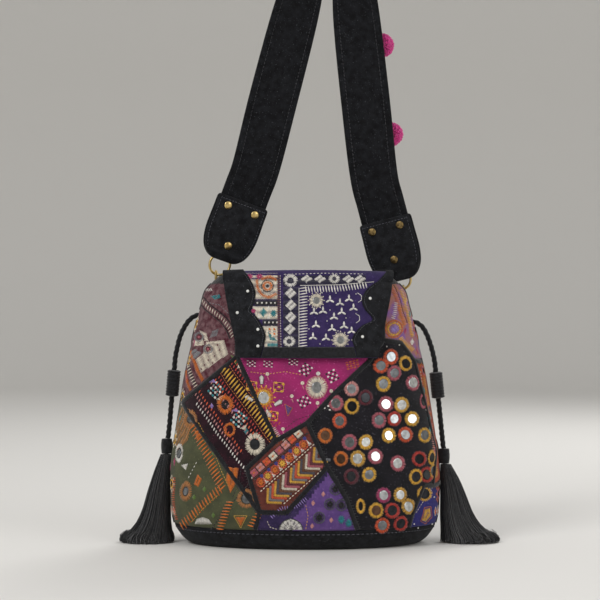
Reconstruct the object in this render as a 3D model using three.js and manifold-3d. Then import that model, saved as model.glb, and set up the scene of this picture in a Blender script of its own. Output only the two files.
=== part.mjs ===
// A potli bag: an oval patchwork bag with a drawstring mouth, a flap and a wide shoulder strap.
// Millimetres, +Z up, front towards -Y. The origin is the middle of the base's underside.
import * as THREE from "three";
import { mergeVertices } from "three/addons/utils/BufferGeometryUtils.js";
import Module from "manifold-3d";

const wasm = await Module();
wasm.setup();

// Overall size of the body
const bodyWidth = 266;
const bodyDepth = 150;
const bodyHeight = 265;

/** A sideways place drawn on the body at its 266 mm width, moved with the width. */
function acrossBody(x) {
  return (x * bodyWidth) / 266;
}

/** A height drawn on the body at its 265 mm height, moved with the height. */
function upBody(z) {
  return (z * bodyHeight) / 265;
}

// Layers of the wall, from the outside inwards
const patchThickness = 1.2;
const foundationThickness = 2;
const liningThickness = 0.8;
const fit = 0.3;

// Base
const baseHeight = 20;
const baseThickness = 2;
const boardThickness = 2;

// Rim binding
const bindingThickness = 0.9;
const bindingDepth = 9;

// Drawstrings and what hangs on them
const cordDiameter = 5;
const cordSpacing = 6;
const tunnelHeights = { left: upBody(227), right: upBody(220) };
const tunnelMargin = 6;
const slotHeight = 9;
const sliderWidth = 13;
const sliderDepth = 18;
const sliderHeight = 26;
const boreClearance = 0.5;
const capDiameter = 12;
const capHeight = 15;

// Flap
const flapThickness = 3;
const flapLift = 4.1;
const flapTop = bodyHeight + 6.5;
const flapBottom = upBody(186.3);
const flapCentre = 3;
const flapHalfWidthAtHinge = acrossBody(69);
const flapHalfWidthAtFold = acrossBody(83);
const flapHalfWidthAtBottom = acrossBody(67);
const flapHingeY = 3;
const flapCrown = 1.5;
const trimThickness = 1.2;
const yokeDrop = 40;

// Magnetic snap under the flap
const snapDiameter = 14;
const snapThickness = 1.4;
const snapHeight = upBody(200);

// Shoulder strap
const strapWidth = 50;
const strapThickness = 4;
const tabWidth = strapWidth + 4;
const tabLength = 64;
const tabLeather = 1.8;
const tongueWidth = 14;
const rivetCapDiameter = 8;
const rivetCapHeight = 1.2;
const rivetShankDiameter = 3;
const pompomDiameter = 25;
const pompomPitch = 89;

// Metal rings
const roundRingRadius = 10.7;
const roundRingWire = 2.6;
const deeRingWire = 2.4;
const deeRingHalfWidth = 7.5;
const deeRingHeight = 12;
const linkClearance = 0.8;
const sideTabWidth = 9;
const sideTabPly = 1.6;
const sideTabLength = 26;

// The two points where the round rings hang in the D-rings; the strap swings about their line
const link = {
  left: new THREE.Vector3(acrossBody(-90), bodyDepth * 0.16, upBody(268)),
  right: new THREE.Vector3(acrossBody(99.5), bodyDepth * 0.16, upBody(253)),
};

const colours = {
  suede: 0x17181a, cotton: 0x101113, brass: 0xc9b27a, pink: 0xe0389a, board: 0x8a7a60,
  lining: 0x2c2430, foundation: 0x3a3436, purple: 0x3e2f5e,
};

const bag = new THREE.Group();

/** Adds one named piece with its own material to a group. */
function addPiece(name, geometry, colour, roughness = 0.9, metalness = 0, group = bag) {
  const material = new THREE.MeshStandardMaterial({ color: colour, roughness, metalness });
  const mesh = new THREE.Mesh(geometry, material);
  mesh.name = name;
  group.add(mesh);
  return mesh;
}

/** A closed geometry as a solid that can be joined and cut. */
function toSolid(geometry) {
  const bare = geometry.clone();
  bare.deleteAttribute("normal");
  bare.deleteAttribute("uv");
  const merged = mergeVertices(bare, 1e-4);
  const vertProperties = new Float32Array(merged.attributes.position.array);
  const triVerts = new Uint32Array(merged.index.array);
  return new wasm.Manifold(new wasm.Mesh({ numProp: 3, vertProperties, triVerts }));
}

/** A solid back as a geometry. */
function toGeometry(solid) {
  const mesh = solid.getMesh();
  const geometry = new THREE.BufferGeometry();
  geometry.setAttribute("position", new THREE.BufferAttribute(new Float32Array(mesh.vertProperties), 3));
  geometry.setIndex(new THREE.BufferAttribute(new Uint32Array(mesh.triVerts), 1));
  return geometry;
}

/** The geometry without the given cutters. */
function cut(geometry, ...cutters) {
  let solid = toSolid(geometry);
  for (const cutter of cutters) {
    solid = solid.subtract(toSolid(cutter));
  }
  return toGeometry(solid);
}

// The body's oval section. Each row is a height, a half width and a half depth as shares of the body's size.
const sectionShares = [
  [0, 0.421, 0.373], [0.011, 0.442, 0.403], [0.03, 0.463, 0.435], [0.075, 0.489, 0.48],
  [0.19, 0.5, 0.5], [0.34, 0.497, 0.5], [0.53, 0.47, 0.473], [0.66, 0.447, 0.447],
  [0.785, 0.416, 0.407], [0.894, 0.387, 0.367], [0.943, 0.374, 0.347], [0.97, 0.354, 0.323],
  [1, 0.32, 0.28],
];

/** A smooth curve through the rows [x, ...values], read at x, value by value. */
function smooth(rows, x, column) {
  const last = rows.length - 2;
  let i = 0;
  while (i < last && x > rows[i + 1][0]) {
    i += 1;
  }
  const slope = (k) => {
    const before = rows[Math.max(k - 1, 0)];
    const after = rows[Math.min(k + 1, rows.length - 1)];
    return (after[column] - before[column]) / (after[0] - before[0]);
  };
  const [p, q] = [rows[i], rows[i + 1]];
  const span = q[0] - p[0];
  const t = Math.min(Math.max((x - p[0]) / span, 0), 1);
  const t2 = t * t;
  const t3 = t2 * t;
  const start = (2 * t3 - 3 * t2 + 1) * p[column] + (t3 - 2 * t2 + t) * span * slope(i);
  return start + (3 * t2 - 2 * t3) * q[column] + (t3 - t2) * span * slope(i + 1);
}

/** Half width and half depth of the body at a height, less an inset. */
function section(z, inset = 0) {
  const share = z / bodyHeight;
  return {
    a: smooth(sectionShares, share, 1) * bodyWidth - inset,
    b: smooth(sectionShares, share, 2) * bodyDepth - inset,
  };
}

/** A profile of [height, inset] points carried round the oval; it closes on itself or at the axis. */
function ovalWall(profile, closesAtAxis = false, around = 28) {
  const positions = [];
  const index = [];
  for (const [z, inset] of profile) {
    const { a, b } = section(Math.max(z, 0), inset);
    for (let i = 0; i < around; i += 1) {
      const angle = (2 * Math.PI * (i + 0.5)) / around;
      positions.push(a * Math.cos(angle), b * Math.sin(angle), z);
    }
  }
  const rows = profile.length;
  const lastRow = closesAtAxis ? rows - 1 : rows;
  for (let r = 0; r < lastRow; r += 1) {
    for (let i = 0; i < around; i += 1) {
      const p = r * around + i;
      const q = r * around + ((i + 1) % around);
      const up = ((r + 1) % rows) * around - r * around;
      index.push(p, q, q + up, p, q + up, p + up);
    }
  }
  if (closesAtAxis) {
    const bottom = positions.length / 3;
    positions.push(0, 0, profile[0][0], 0, 0, profile[rows - 1][0]);
    for (let i = 0; i < around; i += 1) {
      const next = (i + 1) % around;
      const top = (rows - 1) * around;
      index.push(bottom, next, i, bottom + 1, top + i, top + next);
    }
  }
  const geometry = new THREE.BufferGeometry();
  geometry.setAttribute("position", new THREE.Float32BufferAttribute(positions, 3));
  geometry.setIndex(index);
  return geometry;
}

/** Heights from low to high in equal steps. */
function heights(low, high, steps) {
  return Array.from({ length: steps + 1 }, (_, i) => low + ((high - low) * i) / steps);
}

/** The closed profile of a wall between two insets. */
function wallProfile(rows, outer, inner) {
  const outside = rows.map((z) => [z, outer]);
  const inside = rows.map((z) => [z, inner]).reverse();
  return [...outside, ...inside];
}

// Base cover: a shallow suede bowl
const baseRows = [0, 1.5, 4, 9, 14, baseHeight];
const baseProfile = [
  ...baseRows.map((z) => [z, 0]),
  [baseHeight, baseThickness], [14, baseThickness], [9, baseThickness], [5, baseThickness],
  [baseThickness, baseThickness + 2],
];
addPiece("base_cover", ovalWall(baseProfile, true), colours.suede);

// Base board: a stiff card lying in the bowl
const boardLow = baseThickness + fit;
const boardInset = baseThickness + 3.5;
addPiece("base_board", ovalWall([[boardLow, boardInset], [boardLow + boardThickness, boardInset]], true),
  colours.board);

// Heights of the wall's rows; the layers share them, so that they lie evenly on each other
const wallLow = baseHeight + fit;
const foundationInset = patchThickness + fit;
const foundationInner = foundationInset + foundationThickness;
const liningInset = foundationInner + fit;
const tunnelSlack = 1.2;
const cordInset = liningInset + tunnelSlack + cordDiameter / 2;
const tunnelInset = cordInset + cordDiameter / 2 + tunnelSlack;
const tunnelLow = tunnelHeights.right - cordDiameter / 2 - tunnelMargin;
const tunnelHigh = tunnelHeights.left + cordDiameter / 2 + tunnelMargin;
const bindingLow = bodyHeight - bindingDepth;
const bindingMid = bodyHeight - bindingDepth / 2;
const tunnelRows = [tunnelLow, tunnelLow + tunnelMargin - 1, tunnelHigh - tunnelMargin + 1, tunnelHigh];
const lowerRows = [...heights(wallLow, tunnelLow, 4).slice(0, -1)];
const shoulderHeight = (tunnelHigh + bindingLow) / 2;
const wallRows = [...lowerRows, ...tunnelRows, shoulderHeight, bindingLow, bindingMid, bodyHeight];

/** The slot in the side through which a drawstring leaves its tunnel. */
function exitSlot(side) {
  const slot = new THREE.BoxGeometry(40, 2 * cordSpacing + 1, slotHeight);
  slot.translate((side === "left" ? -1 : 1) * section(tunnelHeights[side]).a, 0, tunnelHeights[side]);
  return slot;
}
addPiece("foundation_shell",
  cut(ovalWall(wallProfile(wallRows, foundationInset, foundationInner)), exitSlot("left"), exitSlot("right")),
  colours.foundation);

// Lining: a thin bag inside, which bulges inwards where it makes the drawstrings' tunnel
const liningFloor = boardLow + boardThickness + fit;
const liningRows = [
  [liningFloor, boardInset + 2], [13, liningInset + 1.5],
  ...wallRows.map((z) => [z, tunnelRows.slice(1, 3).includes(z) ? tunnelInset : liningInset]),
];
const liningInside = liningRows.map(([z, inset]) => [z, inset + liningThickness]).reverse();
liningInside[liningInside.length - 1] = [liningFloor + liningThickness, boardInset + 2 + liningThickness];
addPiece("lining", ovalWall([...liningRows, ...liningInside], true), colours.lining);

// Rim binding: a folded strip over the top edges of all the layers
const bindingOut = -fit;
const bindingIn = liningInset + liningThickness + fit;
const bindingTop = bodyHeight + fit;
addPiece("rim_binding", ovalWall([
  [bindingLow, bindingOut - bindingThickness], [bindingMid, bindingOut - bindingThickness],
  [bindingTop + bindingThickness, bindingOut - bindingThickness],
  [bindingTop + bindingThickness, bindingIn + bindingThickness], [bindingMid, bindingIn + bindingThickness],
  [bindingLow, bindingIn + bindingThickness], [bindingLow, bindingIn], [bindingMid, bindingIn],
  [bodyHeight, bindingIn], [bindingTop, bindingIn], [bindingTop, bindingOut], [bodyHeight, bindingOut],
  [bindingMid, bindingOut], [bindingLow, bindingOut],
]), colours.cotton);

// Patchwork: the seams' corners on the front and the back, as [x, z], and the patches between them.
// Corners outside the body's outline only carry a seam past its edge.
const patchGap = 0.5;
const seam = {
  topLeft: [-160, 280], topFloral: [-66, 280], topLilac: [76, 280], topRight: [160, 280],
  floralLow: [-66, 187], bandLeft: [-122, 141], outLeft: [-160, 138],
  bandRight: [-28, 107], chevronLeft: [-56, 80], chevronLow: [-44, 38], oliveFoot: [-54, 0],
  mirrorLeft: [2, 124], chevronRight: [21, 82], chevronFoot: [-18, 38], purpleRight: [39, 52],
  mirrorFoot: [58, 0], mirrorTop: [28, 152], magentaRight: [62, 183], lilacLow: [76, 203],
  lilacMid: [94, 200], lilacRight: [108, 182], outRight: [160, 175], stripMid: [119, 138],
  stripLow: [130, 92], outStrip: [160, 60], blueRight: [126, 59], blueTop: [116, 60],
  blueLeft: [104, 32], blueFoot: [96, 0], footLeft: [-160, 0], footRight: [160, 0],
  backTop: [12, 280], backMid: [-18, 150], backLeft: [-160, 118], backRight: [160, 168], backFoot: [34, 0],
};
const frontPatches = {
  patch_floral: ["topLeft", "topFloral", "floralLow", "bandLeft", "outLeft"],
  patch_rung_band: ["bandLeft", "floralLow", "bandRight", "chevronLeft", "chevronLow"],
  patch_magenta: ["topFloral", "topLilac", "lilacLow", "magentaRight", "mirrorTop", "mirrorLeft", "bandRight",
    "floralLow"],
  patch_mirror: ["mirrorLeft", "mirrorTop", "magentaRight", "lilacLow", "lilacMid", "lilacRight", "stripMid",
    "stripLow", "blueRight", "blueTop", "blueLeft", "blueFoot", "mirrorFoot", "purpleRight", "chevronRight"],
  patch_olive: ["outLeft", "bandLeft", "chevronLow", "oliveFoot", "footLeft"],
  patch_chevron: ["chevronLeft", "bandRight", "mirrorLeft", "chevronRight", "chevronFoot", "chevronLow"],
  patch_purple: ["chevronLow", "chevronFoot", "chevronRight", "purpleRight", "mirrorFoot", "oliveFoot"],
  patch_lilac: ["topLilac", "topRight", "outRight", "lilacRight", "lilacMid", "lilacLow"],
  patch_side_strip: ["lilacRight", "outRight", "outStrip", "blueRight", "stripLow", "stripMid"],
  patch_blue: ["blueTop", "blueRight", "outStrip", "footRight", "blueFoot", "blueLeft"],
};
const backPatches = {
  patch_back_teal: ["topLeft", "backTop", "backMid", "backLeft"],
  patch_back_maroon: ["backTop", "topRight", "backRight", "backMid"],
  patch_back_ochre: ["backLeft", "backMid", "backFoot", "footLeft"],
  patch_back_violet: ["backMid", "backRight", "footRight", "backFoot"],
};
const patchColours = {
  patch_floral: 0xb9a79a, patch_rung_band: 0x3a1a26, patch_magenta: 0xa23468, patch_mirror: 0x17161a,
  patch_olive: 0x4f4f3a, patch_chevron: 0x8a4a3a, patch_purple: 0x4a3a66, patch_lilac: 0x6a4b80,
  patch_side_strip: 0xc0641c, patch_blue: 0x3a3472, patch_back_teal: 0x1f5a5c, patch_back_maroon: 0x6a2236,
  patch_back_ochre: 0xa87a2c, patch_back_violet: 0x4a2f66,
};

/** The outline moved inwards by a distance, edge by edge; corners run clockwise or anticlockwise. */
function shrink(corners, distance) {
  const count = corners.length;
  const turn = Math.sign(THREE.ShapeUtils.area(corners));
  const edges = corners.map((p, i) => {
    const direction = corners[(i + 1) % count].clone().sub(p).normalize();
    const inward = new THREE.Vector2(-direction.y, direction.x).multiplyScalar(turn * distance);
    return { point: p.clone().add(inward), direction };
  });
  return edges.map((edge, i) => {
    const before = edges[(i + count - 1) % count];
    const cross = before.direction.x * edge.direction.y - before.direction.y * edge.direction.x;
    const between = edge.point.clone().sub(before.point);
    const along = (between.x * edge.direction.y - between.y * edge.direction.x) / cross;
    return before.point.clone().addScaledVector(before.direction, along);
  });
}

const skin = toSolid(ovalWall(wallProfile(wallRows, 0, patchThickness)))
  .subtract(toSolid(exitSlot("left")))
  .subtract(toSolid(exitSlot("right")));

/** One patch: the part of the skin inside its outline, on the front (-1) or the back (1). */
function addPatch(name, cornerNames, side) {
  const corners = cornerNames.map((key) => seam[key])
    .map(([x, z]) => new THREE.Vector2(acrossBody(x), upBody(z)));
  const outline = shrink(corners, patchGap / 2);
  const prism = new THREE.ExtrudeGeometry(new THREE.Shape(outline),
    { depth: bodyDepth, bevelEnabled: false });
  prism.rotateX(Math.PI / 2);
  prism.translate(0, side < 0 ? -patchGap / 2 : bodyDepth + patchGap / 2, 0);
  addPiece(name, toGeometry(skin.intersect(toSolid(prism))), patchColours[name]);
}
for (const [name, corners] of Object.entries(frontPatches)) {
  addPatch(name, corners, -1);
}
for (const [name, corners] of Object.entries(backPatches)) {
  addPatch(name, corners, 1);
}

/** A round cord or wire along a curve, with closed ends. */
function cord(points, diameter, steps, sides = 8) {
  const profile = new THREE.Shape();
  for (let i = 0; i < sides; i += 1) {
    const angle = (2 * Math.PI * i) / sides;
    const [x, y] = [Math.cos(angle) * diameter / 2, Math.sin(angle) * diameter / 2];
    if (i === 0) {
      profile.moveTo(x, y);
    } else {
      profile.lineTo(x, y);
    }
  }
  const extrudePath = new THREE.CatmullRomCurve3(points.map((p) => new THREE.Vector3(...p)));
  return new THREE.ExtrudeGeometry(profile, { steps, extrudePath, curveSegments: 1 });
}

// Drawstrings. Each runs once round the mouth in the tunnel and leaves it, both ends side by side.
// The free ends' routes are lists of [x, z], from the tunnel down to the knot; strands lie at +-y.
const strandRoutes = {
  left: [[-96.5, 227], [-104, 227.2], [-110, 226], [-116, 221.5], [-121, 214], [-125, 205], [-127.6, 195],
    [-129.6, 185], [-130.5, 175], [-131.4, 165], [-132.2, 155], [-133.1, 145], [-134, 135], [-134.8, 125],
    [-135.7, 115], [-136.6, 107], [-136.9, 104.1]],
  right: [[98, 220], [105, 220.4], [111, 219.6], [117, 215.5], [121.5, 208], [125, 199], [127.6, 190],
    [129.6, 180.5], [130.6, 171], [131.6, 161], [132.6, 151], [133.6, 141], [134.6, 131], [135.6, 121],
    [136.6, 111], [137.6, 101], [138.4, 94]],
};
const sides = [["left", -1], ["right", 1]];
for (const [name, sign] of sides) {
  const height = tunnelHeights[name];
  const { a, b } = section(height, cordInset);
  const open = (cordSpacing / 2 + cordDiameter / 2 + 2 * fit) / b;
  const start = (sign < 0 ? Math.PI : 0) + open;
  const loop = Array.from({ length: 33 }, (_, i) => {
    const angle = start + ((2 * Math.PI - 2 * open) * i) / 32;
    return [a * Math.cos(angle), b * Math.sin(angle), height];
  });
  addPiece(`drawstring_${name}`, cord(loop, cordDiameter, 28), colours.cotton);
  for (const [place, y] of [["front", -cordSpacing / 2], ["back", cordSpacing / 2]]) {
    const route = strandRoutes[name].map(([x, z]) => [acrossBody(x), y, upBody(z)]);
    addPiece(`strand_${name}_${place}`, cord(route, cordDiameter, 14), colours.cotton);
  }
}

// Sliders: a stiff wrapped block on each doubled cord, free to slide on the straight stretch
const sliderAt = {
  left: { low: [-134.8, 125], high: [-130.5, 175], z: 159 },
  right: { low: [135.6, 121], high: [130.6, 171], z: 157 },
};
for (const [name, { low, high, z }] of Object.entries(sliderAt)) {
  const block = new THREE.Shape();
  const [w, d, r] = [sliderWidth / 2, sliderDepth / 2, 4];
  block.moveTo(-w + r, -d);
  block.lineTo(w - r, -d);
  block.absarc(w - r, -d + r, r, -Math.PI / 2, 0);
  block.lineTo(w, d - r);
  block.absarc(w - r, d - r, r, 0, Math.PI / 2);
  block.lineTo(-w + r, d);
  block.absarc(-w + r, d - r, r, Math.PI / 2, Math.PI);
  block.lineTo(-w, -d + r);
  block.absarc(-w + r, -d + r, r, Math.PI, 1.5 * Math.PI);
  for (const y of [-cordSpacing / 2, cordSpacing / 2]) {
    const bore = new THREE.Path();
    bore.absarc(0, y, cordDiameter / 2 + boreClearance, 0, 2 * Math.PI, true);
    block.holes.push(bore);
  }
  const geometry = new THREE.ExtrudeGeometry(block,
    { depth: sliderHeight, bevelEnabled: false, curveSegments: 4 });
  geometry.translate(0, 0, -sliderHeight / 2);
  const slider = addPiece(`slider_${name}`, geometry, colours.suede);
  const along = (z - low[1]) / (high[1] - low[1]);
  const lean = acrossBody(high[0] - low[0]);
  slider.position.set(acrossBody(low[0]) + lean * along, 0, upBody(z));
  slider.rotation.y = Math.atan2(lean, upBody(high[1] - low[1]));
}

// Tassels: a bound cap under the knot of each drawstring, and a long skirt that splays on the floor.
// A skirt row is a height, the middle's distance outwards, and the half width and half depth.
const tassels = {
  left: {
    cap: [-138.2, 103.5], skirt: [[0.5, -158, 27, 21], [4, -158, 27, 21], [14, -153, 19.5, 19],
      [30, -149, 14.5, 15], [50, -146, 11.5, 12], [70, -142.5, 8.5, 9], [88.1, -139, 5, 5.5]],
  },
  right: {
    cap: [139, 93.6], skirt: [[0.5, 165, 29, 21], [4, 165, 29, 21], [14, 157.5, 21.5, 19],
      [28, 152, 16.5, 15], [45, 148.5, 13, 12], [62, 145, 9.5, 9], [78.2, 140.5, 5, 5.5]],
  },
};
for (const [name, { cap, skirt }] of Object.entries(tassels)) {
  const capProfile = [[0, 0], [0.4, 0], [0.47, 0.2], [0.4, 0.5], [0.5, 0.75], [0.35, 1], [0, 1]]
    .map(([r, z]) => new THREE.Vector2(r * capDiameter, (z - 1) * capHeight));
  const capGeometry = new THREE.LatheGeometry(capProfile, 12);
  capGeometry.rotateX(Math.PI / 2);
  addPiece(`tassel_cap_${name}`, capGeometry, colours.cotton)
    .position.set(acrossBody(cap[0]), 0, upBody(cap[1]));
  const skirtTop = upBody(cap[1]) - capHeight - fit - 0.1;
  const stretch = skirtTop / skirt[skirt.length - 1][0];
  const rows = heights(skirt[0][0], skirt[skirt.length - 1][0], 8)
    .map((z) => [z * stretch, acrossBody(smooth(skirt, z, 1)), smooth(skirt, z, 2), smooth(skirt, z, 3)]);
  const around = 12;
  const positions = [];
  const index = [];
  rows.forEach(([z, x, rx, ry]) => {
    for (let i = 0; i < around; i += 1) {
      const angle = (2 * Math.PI * i) / around;
      positions.push(x + rx * Math.cos(angle), ry * Math.sin(angle), z);
    }
  });
  for (let r = 0; r < rows.length - 1; r += 1) {
    for (let i = 0; i < around; i += 1) {
      const p = r * around + i;
      const q = r * around + ((i + 1) % around);
      index.push(p, q, q + around, p, q + around, p + around);
    }
  }
  const bottom = positions.length / 3;
  const [first, final] = [rows[0], rows[rows.length - 1]];
  positions.push(first[1], 0, first[0], final[1], 0, final[0]);
  for (let i = 0; i < around; i += 1) {
    const next = (i + 1) % around;
    const top = (rows.length - 1) * around;
    index.push(bottom, next, i, bottom + 1, top + i, top + next);
  }
  const geometry = new THREE.BufferGeometry();
  geometry.setAttribute("position", new THREE.Float32BufferAttribute(positions, 3));
  geometry.setIndex(index);
  addPiece(`tassel_${name}`, geometry, colours.cotton);
}

// Flap. Its outer face follows a path from the hinge line over the front fold and down the body's front.
// across runs from -1 to 1 over its width, and along is 0 at the hinge and 1 at the bottom edge.
const foldRadius = 9;
const foldStart = 0.345;
const foldEnd = 0.45;

/** Half the flap's width at a place along it. */
function flapHalfWidth(along) {
  const widths = [[0, flapHalfWidthAtHinge], [0.2, flapHalfWidthAtFold - 2], [0.42, flapHalfWidthAtFold],
    [1, flapHalfWidthAtBottom]];
  return smooth(widths, along, 1);
}

/** Where the flap's outer face stands in front of the body at a height. */
function apronY(x, z) {
  const reach = section(Math.min(z, bodyHeight - 6), -(flapLift + flapThickness));
  const share = Math.min(Math.abs(x) / reach.a, 0.97);
  return -reach.b * Math.sqrt(1 - share * share);
}

/** A point of the flap's outer face, at sideways place x. */
function flapPoint(x, along) {
  const side = (x - flapCentre) / flapHalfWidthAtFold;
  const top = flapTop - flapCrown * side * side;
  const foldY = apronY(x, top - foldRadius);
  if (along <= foldStart) {
    return new THREE.Vector3(x, flapHingeY + (foldY + foldRadius - flapHingeY) * (along / foldStart), top);
  }
  if (along <= foldEnd) {
    const turn = ((along - foldStart) / (foldEnd - foldStart)) * (Math.PI / 2);
    return new THREE.Vector3(x, foldY + foldRadius - foldRadius * Math.sin(turn),
      top - foldRadius + foldRadius * Math.cos(turn));
  }
  const drop = top - foldRadius - flapBottom;
  const z = top - foldRadius - (drop * (along - foldEnd)) / (1 - foldEnd);
  return new THREE.Vector3(x, apronY(x, z), z);
}

/** The outward normal of a surface given as point(x, along). */
function normalOf(point, x, along) {
  const step = 0.01;
  const du = point(x + step * 20, along).sub(point(x - step * 20, along));
  const dv = point(x, Math.min(along + step, 1)).sub(point(x, Math.max(along - step, 0)));
  const normal = dv.cross(du).normalize();
  const outwards = point(x, along).sub(new THREE.Vector3(0, 0, bodyHeight - 60));
  return normal.dot(outwards) < 0 ? normal.negate() : normal;
}

/** A sheet between two offsets from a surface, on the given rows; left and right bound it sideways. */
function sheet(point, left, right, rows, thickness, lift, across) {
  const down = rows.length - 1;
  const faces = [lift + thickness, lift];
  const positions = [];
  const index = [];
  for (const offset of faces) {
    for (let j = 0; j <= down; j += 1) {
      const along = rows[j];
      for (let i = 0; i <= across; i += 1) {
        const x = left(along) + ((right(along) - left(along)) * i) / across;
        const place = point(x, along).addScaledVector(normalOf(point, x, along), offset);
        positions.push(...place.toArray());
      }
    }
  }
  const row = across + 1;
  const layer = row * (down + 1);
  for (let j = 0; j < down; j += 1) {
    for (let i = 0; i < across; i += 1) {
      const p = j * row + i;
      index.push(p, p + row, p + row + 1, p, p + row + 1, p + 1);
      const q = p + layer;
      index.push(q, q + row + 1, q + row, q, q + 1, q + row + 1);
    }
  }
  const edge = [];
  for (let i = 0; i < across; i += 1) {
    edge.push(i);
  }
  for (let j = 0; j < down; j += 1) {
    edge.push(j * row + across);
  }
  for (let i = across; i > 0; i -= 1) {
    edge.push(down * row + i);
  }
  for (let j = down; j > 0; j -= 1) {
    edge.push(j * row);
  }
  edge.forEach((p, k) => {
    const q = edge[(k + 1) % edge.length];
    index.push(p, q, q + layer, p, q + layer, p + layer);
  });
  const geometry = new THREE.BufferGeometry();
  geometry.setAttribute("position", new THREE.Float32BufferAttribute(positions, 3));
  geometry.setIndex(index);
  return geometry;
}

const flapLeft = (along) => flapCentre - flapHalfWidth(along);
const flapRight = (along) => flapCentre + flapHalfWidth(along);
const flap = new THREE.Group();
bag.add(flap);
const flapRows = [0, 0.12, 0.24, 0.345, 0.38, 0.415, 0.45, 0.5, 0.54, 0.58, 0.62, 0.66, 0.7, 0.74, 0.79,
  0.84, 0.89, 0.935, 1];
addPiece("flap_panel", sheet(flapPoint, flapLeft, flapRight, flapRows, flapThickness, -flapThickness, 12),
  colours.purple, 0.9, 0, flap);

// Suede side pieces of the flap: each inner edge is cut in two round lobes
const lobes = {
  left: [[0, -62], [0.36, -60], [0.45, -53], [0.54, -48], [0.62, -49.5], [0.675, -52.5], [0.72, -46],
    [0.84, -38], [0.93, -40.5], [1, -43]],
  right: [[0, 70], [0.36, 80], [0.45, 72], [0.52, 60], [0.59, 55], [0.66, 57.5], [0.735, 65], [0.78, 54],
    [0.865, 45.3], [0.93, 47.5], [1, 50]],
};
const lobeLeft = (along) => acrossBody(smooth(lobes.left, along, 1));
const lobeRight = (along) => acrossBody(smooth(lobes.right, along, 1));
addPiece("flap_side_left", sheet(flapPoint, flapLeft, lobeLeft, flapRows, trimThickness, fit, 4),
  colours.suede, 0.9, 0, flap);
addPiece("flap_side_right", sheet(flapPoint, lobeRight, flapRight, flapRows, trimThickness, fit, 4),
  colours.suede, 0.9, 0, flap);
addPiece("flap_bottom_band", sheet(flapPoint, (along) => lobeLeft(along) + 1, (along) => lobeRight(along) - 1,
  flapRows.slice(-2), trimThickness, fit, 8), colours.cotton, 0.9, 0, flap);

// The yoke: the part of the flap behind its hinge line, sewn to the back
const backFold = 10;
const backFoldStart = 0.35;
const backFoldEnd = 0.55;

/** A point of the yoke's outer face, from the hinge line over the back rim and down the back. */
function yokePoint(x, along) {
  const side = (x - flapCentre) / flapHalfWidthAtFold;
  const top = flapTop - flapCrown * side * side;
  const backAt = (z) => {
    const reach = section(Math.min(z, bodyHeight - 6), -(flapThickness + bindingThickness + 4 * fit));
    const share = Math.min(Math.abs(x) / reach.a, 0.97);
    return reach.b * Math.sqrt(1 - share * share);
  };
  const foldY = backAt(top - backFold);
  if (along <= backFoldStart) {
    return new THREE.Vector3(x, flapHingeY + (foldY - backFold - flapHingeY) * (along / backFoldStart), top);
  }
  if (along <= backFoldEnd) {
    const turn = ((along - backFoldStart) / (backFoldEnd - backFoldStart)) * (Math.PI / 2);
    return new THREE.Vector3(x, foldY - backFold + backFold * Math.sin(turn),
      top - backFold + backFold * Math.cos(turn));
  }
  const z = top - backFold - (yokeDrop * (along - backFoldEnd)) / (1 - backFoldEnd);
  return new THREE.Vector3(x, backAt(z), z);
}
const yokeSide = flapHalfWidthAtHinge - 1;
const yokeRows = [0.01, 0.12, 0.24, 0.35, 0.4, 0.45, 0.5, 0.55, 0.7, 0.85, 1];
addPiece("flap_yoke", sheet(yokePoint, () => flapCentre + yokeSide, () => flapCentre - yokeSide, yokeRows,
  flapThickness, -flapThickness, 8), colours.suede);

// Magnetic snap: one half on the body's front, one on the flap's inner face
const snapAt = section(snapHeight, 0);
const snapTilt = Math.atan2(section(snapHeight - 10).b - section(snapHeight + 10).b, 20);
const snapSeats = [["snap_socket", fit + 0.15, bag], ["snap_stud", fit + 0.15 + snapThickness + fit, flap]];
for (const [name, lift, group] of snapSeats) {
  const disc = new THREE.CylinderGeometry(snapDiameter / 2, snapDiameter / 2, snapThickness, 20);
  disc.translate(0, snapThickness / 2 + lift, 0);
  const snap = addPiece(name, disc, colours.brass, 0.35, 1, group);
  snap.position.set(0, -snapAt.b, snapHeight);
  const outwards = new THREE.Vector3(0, -Math.cos(snapTilt), Math.sin(snapTilt));
  snap.quaternion.setFromUnitVectors(new THREE.Vector3(0, 1, 0), outwards);
}

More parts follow.
